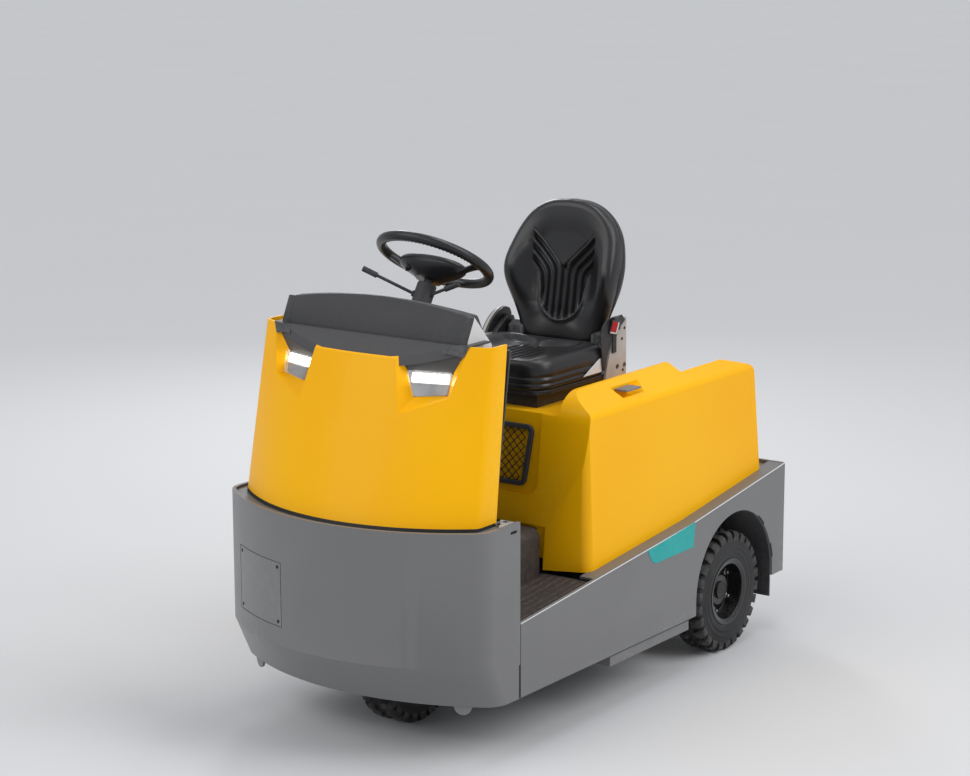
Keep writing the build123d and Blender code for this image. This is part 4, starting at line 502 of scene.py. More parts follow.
def end_tree(tree, entry, leave, geometry):
    """Last nodes of each tree: plain geometry with its finish."""
    real = add_node(tree, "GeometryNodeRealizeInstances", {"Geometry": geometry})
    paint = add_node(tree, "GeometryNodeSetMaterial", {
        "Geometry": real.outputs["Geometry"], "Material": entry.outputs["Finish"]})
    feed(tree, leave, {"Geometry": paint.outputs["Geometry"]})
    return tree


def round_axle_tree():
    """Copies of a piece evenly round the X axis, then turned and carried to a centre."""
    tree, entry, leave = new_tree("copies_round_axle", [
        ("Count", "NodeSocketInt", 5),
        ("First", "NodeSocketFloat", 0.0),
        ("Turn", "NodeSocketVector", (0, 0, 0)),
        ("Centre", "NodeSocketVector", (0, 0, 0)),
    ])
    points = add_node(tree, "GeometryNodePoints", {"Count": entry.outputs["Count"]})
    pitch = add_math(tree, "DIVIDE", math.tau, entry.outputs["Count"])
    turn = add_math(tree, "MULTIPLY", tree.nodes.new("GeometryNodeInputIndex").outputs["Index"], pitch)
    turn = add_math(tree, "ADD", turn, entry.outputs["First"])
    angles = add_node(tree, "ShaderNodeCombineXYZ", {"X": turn})
    spin = add_node(tree, "FunctionNodeEulerToRotation", {"Euler": angles.outputs["Vector"]})
    copies = add_node(tree, "GeometryNodeInstanceOnPoints", {
        "Points": points.outputs[0], "Instance": entry.outputs["Geometry"],
        "Rotation": spin.outputs["Rotation"]})
    lean = add_node(tree, "FunctionNodeEulerToRotation", {"Euler": entry.outputs["Turn"]})
    carry = add_node(tree, "GeometryNodeTransform", {
        "Geometry": copies.outputs["Instances"], "Rotation": lean.outputs["Rotation"],
        "Translation": entry.outputs["Centre"]})
    return end_tree(tree, entry, leave, carry.outputs["Geometry"])


def row_tree():
    """Copies of a piece in a straight row."""
    tree, entry, leave = new_tree("copies_in_row", [
        ("Count", "NodeSocketInt", 6),
        ("Step", "NodeSocketVector", (0.02, 0, 0)),
    ])
    line = add_node(tree, "GeometryNodeMeshLine", {
        "Count": entry.outputs["Count"], "Offset": entry.outputs["Step"]})
    copies = add_node(tree, "GeometryNodeInstanceOnPoints", {
        "Points": line.outputs["Mesh"], "Instance": entry.outputs["Geometry"]})
    return end_tree(tree, entry, leave, copies.outputs["Instances"])


def fastener_tree():
    """Screw or bolt heads with washers on points, each turned to its point's aim."""
    tree, entry, leave = new_tree("fasteners_on_points", [
        ("Sides", "NodeSocketInt", 6),
        ("Head", "NodeSocketFloat", 0.006),
        ("Height", "NodeSocketFloat", 0.004),
        ("Washer", "NodeSocketFloat", 0.009),
    ])
    washer = add_node(tree, "GeometryNodeMeshCylinder", {
        "Vertices": WASHER_SIDES, "Radius": entry.outputs["Washer"], "Depth": WASHER_DEPTH})
    head = add_node(tree, "GeometryNodeMeshCone", {
        "Vertices": entry.outputs["Sides"], "Radius Bottom": entry.outputs["Head"],
        "Radius Top": add_math(tree, "MULTIPLY", entry.outputs["Head"], HEAD_TAPER),
        "Depth": entry.outputs["Height"]})
    both = tree.nodes.new("GeometryNodeJoinGeometry")
    for part in (washer, head):
        feed(tree, both, {"Geometry": part.outputs["Mesh"]})
    aim = add_node(tree, "GeometryNodeInputNamedAttribute", {"Name": "aim"})
    aim.data_type = "FLOAT_VECTOR"
    turn = add_node(tree, "FunctionNodeAlignRotationToVector", {"Vector": aim.outputs["Attribute"]})
    turn.axis = "Z"
    copies = add_node(tree, "GeometryNodeInstanceOnPoints", {
        "Points": entry.outputs["Geometry"], "Instance": both.outputs["Geometry"],
        "Rotation": turn.outputs["Rotation"]})
    return end_tree(tree, entry, leave, copies.outputs["Instances"])


def strand_tree():
    """Round cord along every run of edges."""
    tree, entry, leave = new_tree("cord_along_edges", [("Cord", "NodeSocketFloat", 0.0012)])
    runs = add_node(tree, "GeometryNodeMeshToCurve", {"Mesh": entry.outputs["Geometry"]})
    section = add_node(tree, "GeometryNodeCurvePrimitiveCircle", {
        "Resolution": CORD_SIDES, "Radius": entry.outputs["Cord"]})
    cord = add_node(tree, "GeometryNodeCurveToMesh", {
        "Curve": runs.outputs["Curve"], "Profile Curve": section.outputs["Curve"], "Fill Caps": True})
    return end_tree(tree, entry, leave, cord.outputs["Mesh"])


ROUND_AXLE = round_axle_tree()
IN_ROW = row_tree()
FASTENERS = fastener_tree()
STRANDS = strand_tree()


def grow(piece, tree, finish, values):
    """Runs a tree on a piece with its own values, and keeps the result as a plain mesh."""
    modifier = piece.modifiers.new(tree.name, "NODES")
    modifier.node_group = tree
    chosen = dict(values, Finish=FINISHES[finish])
    for item in tree.interface.items_tree:
        if item.in_out == "INPUT" and item.name in chosen:
            modifier[item.identifier] = chosen[item.name]
    return bake_modifiers(piece)


def fasten(name, body, finish, spots, head, height, washer, sides=6):
    """Heads at (point, aim) spots on one body."""
    mesh = bpy.data.meshes.new(name)
    mesh.from_pydata([point for point, _ in spots], [], [])
    aims = mesh.attributes.new("aim", "FLOAT_VECTOR", "POINT")
    for entry, (_, aim) in zip(aims.data, spots):
        entry.vector = aim
    sizes = {"Sides": sides, "Head": head * MM, "Height": height * MM, "Washer": washer * MM}
    piece = grow(link(name, mesh), FASTENERS, finish, sizes)
    return settle(piece, body, finish)


# Panels and frame, from their solids

PANELS = [
    ("front_bumper", "grey_paint", 2.5, 2),
    ("bumper_access_panel", "grey_paint", 0.8, 1),
    ("bumper_corner_plates", "bracket_grey", 1.0, 2),
    ("front_cowl", "yellow_moulding", 3.0, 3),
    ("dash_shelf", "shelf_plastic_lit", 6.0, 3),
    ("dash_visor", "dark_plastic", 7.0, 3),
    ("dash_cheeks", "pale_plastic", 3.0, 2),
    ("instrument_display", "dark_plastic", 2.0, 2),
    ("headlamp_housings", "lamp_case", 1.0, 1),
    ("headlamp_lenses", "lamp_glass", 1.0, 1),
    ("knee_panel", "dark_plastic", 2.0, 2),
    ("steering_console", "dark_plastic", 12.0, 3),
    ("steering_column", "dark_plastic", 3.0, 2),
    ("travel_lever", "dark_plastic", 0.8, 1),
    ("floor_platform", "floor_rubber", 3.0, 2),
    ("step_plates", "floor_rubber", 1.2, 2),
    ("side_skirt_left", "grey_paint", 4.5, 3),
    ("side_skirt_right", "grey_paint", 4.5, 3),
    ("sill_boxes", "grey_paint", 2.0, 2),
    ("wheel_liners", "dark_plastic", 1.0, 1),
    ("rear_panel", "grey_paint", 2.0, 2),
    ("rear_axle", "axle_iron", 4.0, 2),
    ("battery_block", "battery_case", 6.0, 2),
    ("tow_coupling", "coupling_steel", 2.0, 2),
    ("rear_lamps", "tail_lens", 3.0, 2),
    ("pedals", "floor_rubber", 3.0, 2),
    ("chassis_frame", "frame_black", 2.0, 1),
]
for node, finish, edge_mm, segments in PANELS:
    dress(node, "chassis", finish, edge_mm * MM, segments)

HOOD_PIECES = [
    ("pocket_frame", "dark_plastic", 3.0, 2),
    ("seat_base", "seat_metal", 3.0, 2),
    ("seat_bracket", "bracket_grey", 2.0, 2),
]
for node, finish, edge_mm, segments in HOOD_PIECES:
    dress(node, "battery_hood", finish, edge_mm * MM, segments)
dress("battery_hood", "battery_hood", "yellow_moulding", 9.0 * MM, 4, sharp_deg=20.0)
dress("steer_fork", "steer_fork", "axle_iron", 3.0 * MM)


# Ends and edges round the dash

SHELF_END_TOP = [
    (292, -770.5, 1252), (314, -766, 1264), (336, -756, 1269), (354, -754, 1269), (372, -750, 1269)]
SHELF_END_LOW = [
    (292, -774, 1240), (314, -770, 1243), (332, -764, 1240), (347, -761.5, 1237), (359, -758, 1236)]
SHELF_END_SHEET = at_mm(0, 3, 0)
SHELF_PLATE = [(334, -753), (371, -750), (371, -640), (334, -640)]
SHELF_PLATE_LOW = 1263.0
SHELF_PLATE_THICK = 6.0


def shelf_end():
    """End of the dash shelf, turned down over the cowl beside a lamp pocket."""
    rings = []
    for top_spot, low_spot in zip(SHELF_END_TOP, SHELF_END_LOW):
        top = at_mm(*top_spot)
        low = at_mm(*low_spot)
        rings.append([top, low, low + SHELF_END_SHEET, top + SHELF_END_SHEET])
    outline = [at_mm(x, y, SHELF_PLATE_LOW) for x, y in SHELF_PLATE]
    plate = slab("shelf_end_plate", outline, at_mm(0, 0, SHELF_PLATE_THICK), 1.0 * MM)
    return join("shelf_ends", [ring_mesh("shelf_end_face", rings), plate])


settle(with_mirror_twin(shelf_end()), "chassis", "shelf_plastic_lit")

VISOR_END = [
    (-736.5, 1242), (-736.5, 1276), (-703, 1346.5), (-694, 1346.5), (-694, 1340), (-727, 1275),
    (-727, 1242)]
VISOR_END_X = 326.0
VISOR_END_WIDE = 25.5
visor_end = slab(
    "visor_ends", [at_mm(VISOR_END_X, y, z) for y, z in VISOR_END], at_mm(VISOR_END_WIDE, 0, 0), 1.5 * MM)
settle(with_mirror_twin(visor_end), "chassis", "dark_plastic")

LIP_STEPS = 16
LIP_HALF = 156.0
LIP_SAG = 11.0
LIP_CROWN = 2.0
LIP_BOW = 16.0
LIP_FOOT_Y = -818.4
LIP_FOOT_Z = 1220.0
LIP_RISE = Vector((0, 0.31, 1))
LIP_BELOW = Vector((0, -1.9, -6))
LIP_BACK = Vector((0, 9, 3))


def cowl_lip():
    """Straight upper edge of the cowl's middle, between the lamp pockets."""
    rings = []
    for step in range(LIP_STEPS + 1):
        across = 2 * step / LIP_STEPS - 1
        sag = LIP_SAG * (1 - across**2)
        foot = Vector((LIP_HALF * across, LIP_FOOT_Y - LIP_BOW * (1 - across**2), LIP_FOOT_Z - sag))
        top = foot + LIP_RISE * (sag + LIP_CROWN * (1 - across**6))
        low = foot + LIP_BELOW
        rings.append([corner * MM for corner in (low, top, top + LIP_BACK, low + LIP_BACK)])
    return add_bevel(ring_mesh("cowl_lip", rings, sharp_deg=25.0), 2.0 * MM, 2, 50.0)


settle(cowl_lip(), "chassis", "yellow_moulding")

FOOT_ARC_Y = -308.3
FOOT_ARC_R = 672.7
FOOT_SPAN = math.radians(40.0)
FOOT_CORNER = [(438.3, -818.6), (443.0, -813.2), (446.0, -806.7), (447.0, -799.6), (447.0, -722.0)]
FOOT_Z = 732.3
FOOT_HALF = 430.0
FOOT_LEAN = 0.31
FOOT_LEAN_LOSS = 0.13
FOOT_BAND_SECTION = [(1.4, 0.0), (1.4, 10.0), (-2.5, 10.0), (-2.5, 0.0)]


def cowl_foot_band():
    """Dark band round the cowl's foot, inside the bumper's rim."""
    angles = [FOOT_SPAN * (step / 20 - 1) for step in range(41)]
    arc = [(FOOT_ARC_R * math.sin(t), FOOT_ARC_Y - FOOT_ARC_R * math.cos(t)) for t in angles]
    path = [(-x, y) for x, y in reversed(FOOT_CORNER)] + arc + FOOT_CORNER
    spots = [Vector((x, y, FOOT_Z)) for x, y in path]
    rings = []
    for before, spot, after in zip(spots[:1] + spots, spots, spots[1:] + spots[-1:]):
        along = (after - before).normalized()
        out = Vector((along.y, -along.x, 0))
        lean = FOOT_LEAN - FOOT_LEAN_LOSS * (spot.x / FOOT_HALF) ** 2
        corners = [out * (reach - lean * rise) + Vector((0, 0, rise)) for reach, rise in FOOT_BAND_SECTION]
        rings.append([(spot + corner) * MM for corner in corners])
    return ring_mesh("cowl_foot_band", rings)


settle(cowl_foot_band(), "chassis", "black_trim_and_gap_shade")


# Wheels

TYRE_STEPS = 104
TYRE_HALF = [
    (0.0, 197.5), (15.0, 197.5), (30.0, 196.8), (42.0, 193.5), (49.5, 187.0), (53.2, 178.0), (54.4, 166.0),
    (55.0, 158.0), (56.2, 156.5), (56.2, 152.0), (55.0, 150.5), (55.2, 140.0), (56.6, 138.5), (56.6, 134.5),
    (55.4, 133.0), (55.6, 127.0), (54.6, 121.0), (52.6, 116.0), (50.2, 108.5),
]
LUG_COUNT = 26
LUG_INNER_X = 15.5
LUG_WALL_X = 55.8
LUG_SECTION = [
    (LUG_INNER_X, 195.0), (17.5, 207.4), (19.0, 208.6), (42.5, 208.6), (46.0, 207.2), (54.0, 200.6),
    (55.6, 198.0), (LUG_WALL_X, 184.0), (53.5, 176.0), (40.0, 188.0),
]
LUG_WIDTH = 31.0
LUG_INNER = 26.0
LUG_EDGE = 1.8
NUT_COUNT = 5
NUT_TURN = 0.4
NUT_SEAT_X = -3.0
NUT_CIRCLE = 74.0
NUT_STEPS = [
    (0.0, 13.5), (2.0, 13.5), (2.2, 10.8), (11.0, 10.8), (12.2, 9.4), (12.4, 6.0), (21.0, 6.0), (22.0, 5.0)]


def tyre_body():
    """Smooth carcass with moulded rings on its walls."""
    profile = [(-x, r) for x, r in reversed(TYRE_HALF[1:])] + TYRE_HALF
    rings = []
    for turn in turns(TYRE_STEPS):
        rings.append([at_mm(x, -r * math.sin(turn), r * math.cos(turn)) for x, r in profile])
    return ring_mesh("tyre_body", rings, wrap=True, sharp_deg=50.0)


def tyre_lug(side):
    """One shoulder block, wider at the wall than at the middle of the tread."""
    centre_x = sum(x for x, _ in LUG_SECTION) / len(LUG_SECTION)
    centre_r = sum(r for _, r in LUG_SECTION) / len(LUG_SECTION)
    rings = []
    for across, shrink in ((-1.0, LUG_EDGE), (-1.0, 0.0), (1.0, 0.0), (1.0, LUG_EDGE)):
        ring = []
        for x, r in LUG_SECTION:
            share = (x - LUG_INNER_X) / (LUG_WALL_X - LUG_INNER_X)
            half = (LUG_INNER + (LUG_WIDTH - LUG_INNER) * share) / 2 - (LUG_EDGE - shrink)
            inward = Vector((centre_x - x, centre_r - r)).normalized() * shrink
            ring.append(at_mm(side * (x + inward.x), across * half, r + inward.y))
        rings.append(ring)
    return ring_mesh("tyre_lug", rings, sharp_deg=30.0)


def wheel_nut(name, face):
    """Hexagon nut on its stud, facing out of the wheel's dish."""
    rings = []
    for rise, size in NUT_STEPS:
        x = face * (NUT_SEAT_X + rise)
        rings.append([at_mm(x, size * math.sin(t), NUT_CIRCLE + size * math.cos(t)) for t in turns(6)])
    return ring_mesh(name, rings, sharp_deg=30.0)


WHEELS = [
    ("front_wheel", "front_tyre", "front_rim", 1),
    ("rear_wheel_left", "rear_tyre_left", "rear_rim_left", 1),
    ("rear_wheel_right", "rear_tyre_right", "rear_rim_right", -1),
]
for body, tyre_node, rim_node, face in WHEELS:
    low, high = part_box(tyre_node)
    centre = (Vector(low) + Vector(high)) / 2
    carcass = tyre_body()
    carcass.data.transform(Matrix.Translation(centre))
    pieces = [carcass]
    for side, first in ((1, 0.0), (-1, math.pi / LUG_COUNT)):
        place = {"Count": LUG_COUNT, "First": first, "Centre": centre}
        pieces.append(grow(tyre_lug(side), ROUND_AXLE, "tyre_rubber", place))
    settle(join(tyre_node + "_dressed", pieces), body, "tyre_rubber", (tyre_node,))
    dress(rim_node, body, "rim_black", 1.5 * MM)
    nuts = wheel_nut(rim_node + "_nuts", face)
    grow(nuts, ROUND_AXLE, "bright_screw", {"Count": NUT_COUNT, "First": NUT_TURN, "Centre": centre})
    settle(nuts, body, "bright_screw")


# Steering wheel

STEER_LEAN = math.radians(32.0)
STEER_R = 176.0
STEER_TUBE = 15.4
STEER_REACH = 190.0
STEER_LOW, STEER_HIGH = (Vector(corner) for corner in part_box("steering_wheel"))
STEER_CENTRE = Vector((
    0, (STEER_LOW.y + STEER_HIGH.y) / 2, STEER_HIGH.z - STEER_REACH * math.sin(STEER_LEAN) * MM))
HUB_SECTIONS = [
    (-70.5, 42.0, 42.0), (-64.0, 50.0, 46.0), (-56.0, 70.0, 53.0), (-46.0, 95.0, 61.0),
    (-36.0, 112.0, 67.0), (-26.0, 121.0, 71.0), (-18.0, 122.0, 71.0), (-10.0, 117.0, 67.0),
    (-7.0, 109.0, 61.0), (-7.5, 103.0, 56.0), (-5.5, 98.0, 53.0), (-3.0, 70.0, 36.0), (-2.0, 20.0, 10.0),
]
SPOKE_TURNS = (0, 90, 180)
SPOKE_STEPS = 12
SPOKE_START = 58.0
SPOKE_LOW = -44.0
SPOKE_RISE = 43.0
SPOKE_HALF = 21.0
SPOKE_WAIST = 8.0
SPOKE_FLARE = 4.0
SPOKE_THICK = 11.0
SPOKE_THINNING = 3.0
BEAD_COUNT = 84
BEAD_R = 3.4
BEAD_FLAT = 0.6
BEAD_X = -0.80 * STEER_TUBE
BEAD_Z = STEER_R - 0.58 * STEER_TUBE
BEAD_RUN_X = 3.85
BEAD_RUN_Z = 5.0
STALK_AIM = Vector((-0.72, -0.66, -0.22)).normalized()
STALK_SIDE = STALK_AIM.cross(Vector((0, 0, 1))).normalized()
STALK_UP = STALK_SIDE.cross(STALK_AIM)
STALK_START = Vector((-58.0, -38.0, -46.0))
STALK_STEPS = [(0.0, 15.0), (9.0, 15.0), (11.0, 13.5), (11.0, 10.0), (9.0, 9.0), (3.0, 8.5)]


def on_wheel(x, y, height):
    """Point in the steering wheel's own frame, in millimetres, carried to its place."""
    return leaning(STEER_CENTRE, STEER_LEAN, x, y, height)


def steering_rim():
    """Round rim."""
    rings = []
    for turn in turns(96):
        ring = []
        for tube in turns(24):
            reach = STEER_R + STEER_TUBE * math.cos(tube)
            rise = STEER_TUBE * math.sin(tube)
            ring.append(on_wheel(reach * math.cos(turn), reach * math.sin(turn), rise))
        rings.append(ring)
    return ring_mesh("steering_rim", rings, wrap=True)


def steering_hub():
    """Broad moulded shell with a cover sunk in its top."""
    rings = []
    for height, half_x, half_y in HUB_SECTIONS:
        rings.append([on_wheel(half_x * math.cos(t), half_y * math.sin(t), height) for t in turns(64)])
    return ring_mesh("steering_hub", rings, sharp_deg=48.0)


def steering_spoke(turn_deg):
    """Dished spoke that narrows in the middle and flares into the rim."""
    turn = math.radians(turn_deg)
    rings = []
    for step in range(SPOKE_STEPS + 1):
        share = step / SPOKE_STEPS
        reach = SPOKE_START + (STEER_R - SPOKE_START) * share
        height = SPOKE_LOW + SPOKE_RISE * ease(share, 0.0, 1.15)
        waist = SPOKE_WAIST * math.sin(math.pi * share)
        half_w = SPOKE_HALF - waist + SPOKE_FLARE * ease(share, 0.8, 1.0)
        half_t = SPOKE_THICK - SPOKE_THINNING * share
        ring = []
        for t in turns(20):
            side = half_w * math.cos(t)
            x = reach * math.cos(turn) - side * math.sin(turn)
            y = reach * math.sin(turn) + side * math.cos(turn)
            ring.append(on_wheel(x, y, height + half_t * math.sin(t)))
        rings.append(ring)
    return ring_mesh("steering_spoke", rings)


def grip_bead():
    """One finger rib under the rim, at the top of a ring round the X axis."""
    rings = []
    for step in range(7):
        share = step / 3 - 1
        size = BEAD_R * math.sqrt(max(1.0 - share**2, 0.02))
        x = BEAD_X + BEAD_RUN_X * share
        z = BEAD_Z - BEAD_RUN_Z * share
        rings.append([at_mm(x + BEAD_FLAT * size * math.cos(t), size * math.sin(t), z) for t in turns(8)])
    return ring_mesh("grip_bead", rings)


def stalk_socket():
    """Round bush in the hub's front side."""
    rings = []
    for along, size in STALK_STEPS:
        middle = STALK_START + STALK_AIM * along
        spots = [middle + (STALK_SIDE * math.cos(t) + STALK_UP * math.sin(t)) * size for t in turns(24)]
        rings.append([on_wheel(*spot) for spot in spots])
    return ring_mesh("stalk_socket", rings, sharp_deg=35.0)


wheel_turn = Matrix.Rotation(-STEER_LEAN, 3, "X") @ Matrix.Rotation(-math.pi / 2, 3, "Y")
bead_place = {"Count": BEAD_COUNT, "Turn": wheel_turn.to_euler("XYZ"), "Centre": STEER_CENTRE}
beads = grow(grip_bead(), ROUND_AXLE, "steering_grip", bead_place)
wheel_pieces = [steering_rim(), steering_hub(), beads, stalk_socket()]
wheel_pieces += [steering_spoke(turn) for turn in SPOKE_TURNS]
settle(
    join("steering_wheel_dressed", wheel_pieces), "steering_wheel", "steering_grip",
    ("steering_wheel",))


# Seat back

CUSHION_LOW, CUSHION_HIGH = (Vector(corner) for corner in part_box("seat_cushion"))
BACK_LEAN = math.radians(6.0)
BACK_LONG = 484.65
BACK_DEEP = 104.0
BACK_FOOT_DEEP = 66.0
BACK_FOOT = Vector((0, CUSHION_HIGH.y + 6.0 * MM, CUSHION_LOW.z + 72.7 * MM))
BACK_SIDE = [Vector(point) for point in (
    (0, BACK_LONG), (62, BACK_LONG - 6), (116, BACK_LONG - 26), (160, BACK_LONG - 62),
    (191, BACK_LONG - 110), (208, BACK_LONG - 165), (217, 262), (214, 208), (202, 160), (185, 112),
    (170, 72), (156, 36), (130, 8), (80, 0), (0, 0))]
BACK_MIDDLE = (130.0, 330.0)
BACK_STEPS = 76
BACK_EDGE = [
    (0.0, 0.10), (0.0, 0.36), (1.6, 0.42), (5.0, 0.45), (5.0, 0.48), (1.6, 0.51), (0.0, 0.56), (0.4, 0.72),
    (3.0, 0.86), (8.5, 0.95), (18.0, 1.0), (34.0, 1.0), (38.0, 0.95), (70.0, 0.93), (110.0, 0.93)]
BACK_EDGE_R = 26.0
PANEL_DEPTH = 34.0
FOOT_FORWARD = 14.0
WING_FORWARD = 56.0
WING_MIDDLE = 235.0
WING_SPREAD = 115.0
LUMBAR_FORWARD = 8.0
LUMBAR_MIDDLE = 150.0
LUMBAR_TALL = 95.0
LUMBAR_WIDE = 80.0
RECESS_R = 86.0
RECESS_MIDDLE = 165.0
RECESS_SPREAD = 40.0
RECESS_LIP = 5.0
RECESS_LIP_WIDE = 9.0
RIB_PITCH = 27.0
RIB_DEPTH = 16.0
RIB_BLEND = 6.0
FORK_HEIGHT = 268.0


def closed_outline(side):
    """Whole outline from its right-hand half, which runs from the top middle to the bottom middle."""
    return side + [Vector((-point.x, point.y)) for point in reversed(side[1:-1])]


def on_back(x, along, depth):
    """Point of the backrest: across, up along it and behind its front plane, in millimetres."""
    return leaning(BACK_FOOT, BACK_LEAN, x, depth, along)


def recess_inset(x, along):
    """Way in from the edge of the ribbed recess: round below, spreading above."""
    reach = RECESS_R + RECESS_SPREAD * ease(along, RECESS_MIDDLE, 285)
    return reach - math.hypot(x, max(RECESS_MIDDLE - along, 0.0))


def rib_groove(x, along):
    """Nested ribs that rise from a round recess and fork outwards, 0 on a rib and 1 in a groove."""
    arm = (abs(x) - (along - FORK_HEIGHT)) / math.sqrt(2)
    near = min(abs(x), arm)
    bend = near - RIB_BLEND * math.log(1 + math.exp(-abs(abs(x) - arm) / RIB_BLEND))
    wave = 0.5 + 0.5 * math.cos(math.tau * bend / RIB_PITCH)
    return wave * ease(recess_inset(x, along), 0, 9) * ease(arm, 5, 13)


def rounded_drop(inset, radius):
    """Fall of a rounded edge at a way in from it."""
    if inset >= radius:
        return 0.0
    return radius - math.sqrt(radius**2 - (radius - inset) ** 2)


def back_depth(x, along, inset):
    """How far the backrest's face lies behind its front plane; inset is the way in from its outline."""
    panel = PANEL_DEPTH - FOOT_FORWARD * (1 - ease(along, 0, 190))
    wing = WING_FORWARD * math.exp(-((along - WING_MIDDLE) / WING_SPREAD) ** 2) * (1 - ease(inset, 30, 118))
    bulge = math.exp(-((along - LUMBAR_MIDDLE) / LUMBAR_TALL) ** 2) * math.exp(-((x / LUMBAR_WIDE) ** 2))
    lip = math.exp(-((recess_inset(x, along) / RECESS_LIP_WIDE) ** 2)) * (1 - ease(along, 130, 220))
    face = panel - wing - LUMBAR_FORWARD * bulge - RECESS_LIP * lip
    return face + rounded_drop(inset, BACK_EDGE_R) + RIB_DEPTH * rib_groove(x, along)


def seat_back():
    """Moulded backrest: wings, a ribbed hollow and a shell behind a seam."""
    outline = closed_outline(smooth_line(BACK_SIDE, 16))
    middles = [Vector((0, min(max(point.y, BACK_MIDDLE[0]), BACK_MIDDLE[1]))) for point in outline]
    rings = []
    for step in range(BACK_STEPS + 1):
        share = step / BACK_STEPS
        ring = []
        for middle, rim in zip(middles, outline):
            spot = middle + (rim - middle) * share
            inset = (rim - middle).length * (1 - share)
            ring.append(on_back(spot.x, spot.y, back_depth(spot.x, spot.y, inset)))
        rings.append(ring)
    for inset, share in BACK_EDGE:
        ring = []
        for middle, rim in zip(middles, outline):
            spot = rim + (middle - rim).normalized() * min(inset, (middle - rim).length * 0.98)
            front = back_depth(rim.x, rim.y, 0.0)
            deep = BACK_FOOT_DEEP + (BACK_DEEP - BACK_FOOT_DEEP) * ease(rim.y, 60, 400)
            ring.append(on_back(spot.x, spot.y, front + (deep - front) * share))
        rings.append(ring)
    return ring_mesh("seat_back_moulded", rings, sharp_deg=60.0)


# Seat cushion

CUSHION_MID = (CUSHION_LOW + CUSHION_HIGH) / 2
CUSHION_CORNERS = [(1, 1, 0, 56.0), (-1, 1, 90, 56.0), (-1, -1, 180, 84.0), (1, -1, 270, 84.0)]
CUSHION_PITCH = 9.0
CUSHION_STEPS = 60
CUSHION_SPINE = 90.0
CUSHION_HOLLOW = 24.0
CUSHION_FRONT_FALL = 16.0
CUSHION_REAR_FALL = 6.0
CUSHION_EDGE_R = 36.0
CUSHION_RIB = 5.0
CUSHION_BASE = CUSHION_LOW.z / MM
CUSHION_WALL = [
    (0.5, 1066), (1.0, 1060), (5.0, 1057), (5.0, 1053), (1.5, 1050), (1.0, 1043), (1.5, 1039), (6.0, 1036),
    (6.0, 1032), (2.5, 1029), (3.0, 1020), (6.0, CUSHION_BASE + 2.5), (10.0, CUSHION_BASE + 0.4),
    (60.0, CUSHION_BASE + 0.4)]


def cushion_outline():
    """Plan of the cushion round its middle, in millimetres: rounded corners, wider ones at the front."""
    half = (CUSHION_HIGH.x - CUSHION_LOW.x) / 2 / MM
    deep = (CUSHION_HIGH.y - CUSHION_LOW.y) / 2 / MM
    points = []
    for sign_x, sign_y, start, radius in CUSHION_CORNERS:
        centre = Vector((sign_x * (half - radius), sign_y * (deep - radius)))
        for step in range(15):
            turn = math.radians(start + 90 * step / 14)
            points.append(centre + Vector((math.cos(turn), math.sin(turn))) * radius)
    spread = []
    for first, second in zip(points, points[1:] + points[:1]):
        pieces = max(1, round((second - first).length / CUSHION_PITCH))
        spread += [first.lerp(second, i / pieces) for i in range(pieces)]
    return spread


def cushion_drop(x, y, inset):
    """How far the cushion's top lies below its highest point."""
    hollow = CUSHION_HOLLOW * ease(inset, 46, 120)
    front = CUSHION_FRONT_FALL * ease(-y, 90, 205) * ease(inset, 0, 60)
    rear = CUSHION_REAR_FALL * ease(y, 120, 205)
    groove = 0.5 + 0.5 * math.cos(math.tau * abs(x) / RIB_PITCH)
    oval = ease(1.0 - math.hypot(x / 96.0, (y + 20.0) / 140.0), 0.0, 0.12)
    return 1.0 + hollow + front + rear + rounded_drop(inset, CUSHION_EDGE_R) + CUSHION_RIB * groove * oval


def seat_cushion():
    """Moulded cushion with raised sides, a ribbed hollow and two grooves round its lower wall."""
    outline = cushion_outline()
    high = CUSHION_HIGH.z / MM
    middles = [Vector((0, min(max(point.y, -CUSHION_SPINE), CUSHION_SPINE))) for point in outline]
    rings = []

    def add_ring(share, inset_by, height):
        ring = []
        for middle, rim in zip(middles, outline):
            spot = rim + (middle - rim) * (1 - share)
            spot += (middle - rim).normalized() * inset_by
            inset = (rim - spot).length
            level = high - cushion_drop(spot.x, spot.y, inset) if height is None else height
            ring.append(Vector((spot.x * MM, spot.y * MM + CUSHION_MID.y, level * MM)))
        rings.append(ring)

    for step in range(CUSHION_STEPS + 1):
        add_ring(step / CUSHION_STEPS, 0.0, None)
    for inset_by, height in CUSHION_WALL:
        add_ring(1.0, inset_by, height)
    return ring_mesh("seat_cushion_moulded", rings, sharp_deg=60.0)


for piece, node in ((seat_back(), "seat_back"), (seat_cushion(), "seat_cushion")):
    settle(piece, "battery_hood", "seat_vinyl", (node,))


# Seat fittings

def side_plate(name, body, finish, corners, x, thick, edge):
    """Thin plate on a side face, from (y, z) corners in millimetres."""
    outline = [at_mm(x, y, z) for y, z in corners]
    piece = slab(name, outline, at_mm(thick, 0, 0), edge * MM)
    return settle(piece, body, finish)


def axis_block(name, middle, axes, size, edge):
    """Rounded block on its own axes round a middle; size is left, right, low, high, back, front."""
    across, rise, out = axes
    left, right, low, high, back, front = size
    corners = ((left, low), (right, low), (right, high), (left, high))
    outline = [middle + (across * x + rise * y + out * back) * MM for x, y in corners]
    return slab(name, outline, out * (front - back) * MM, edge * MM)


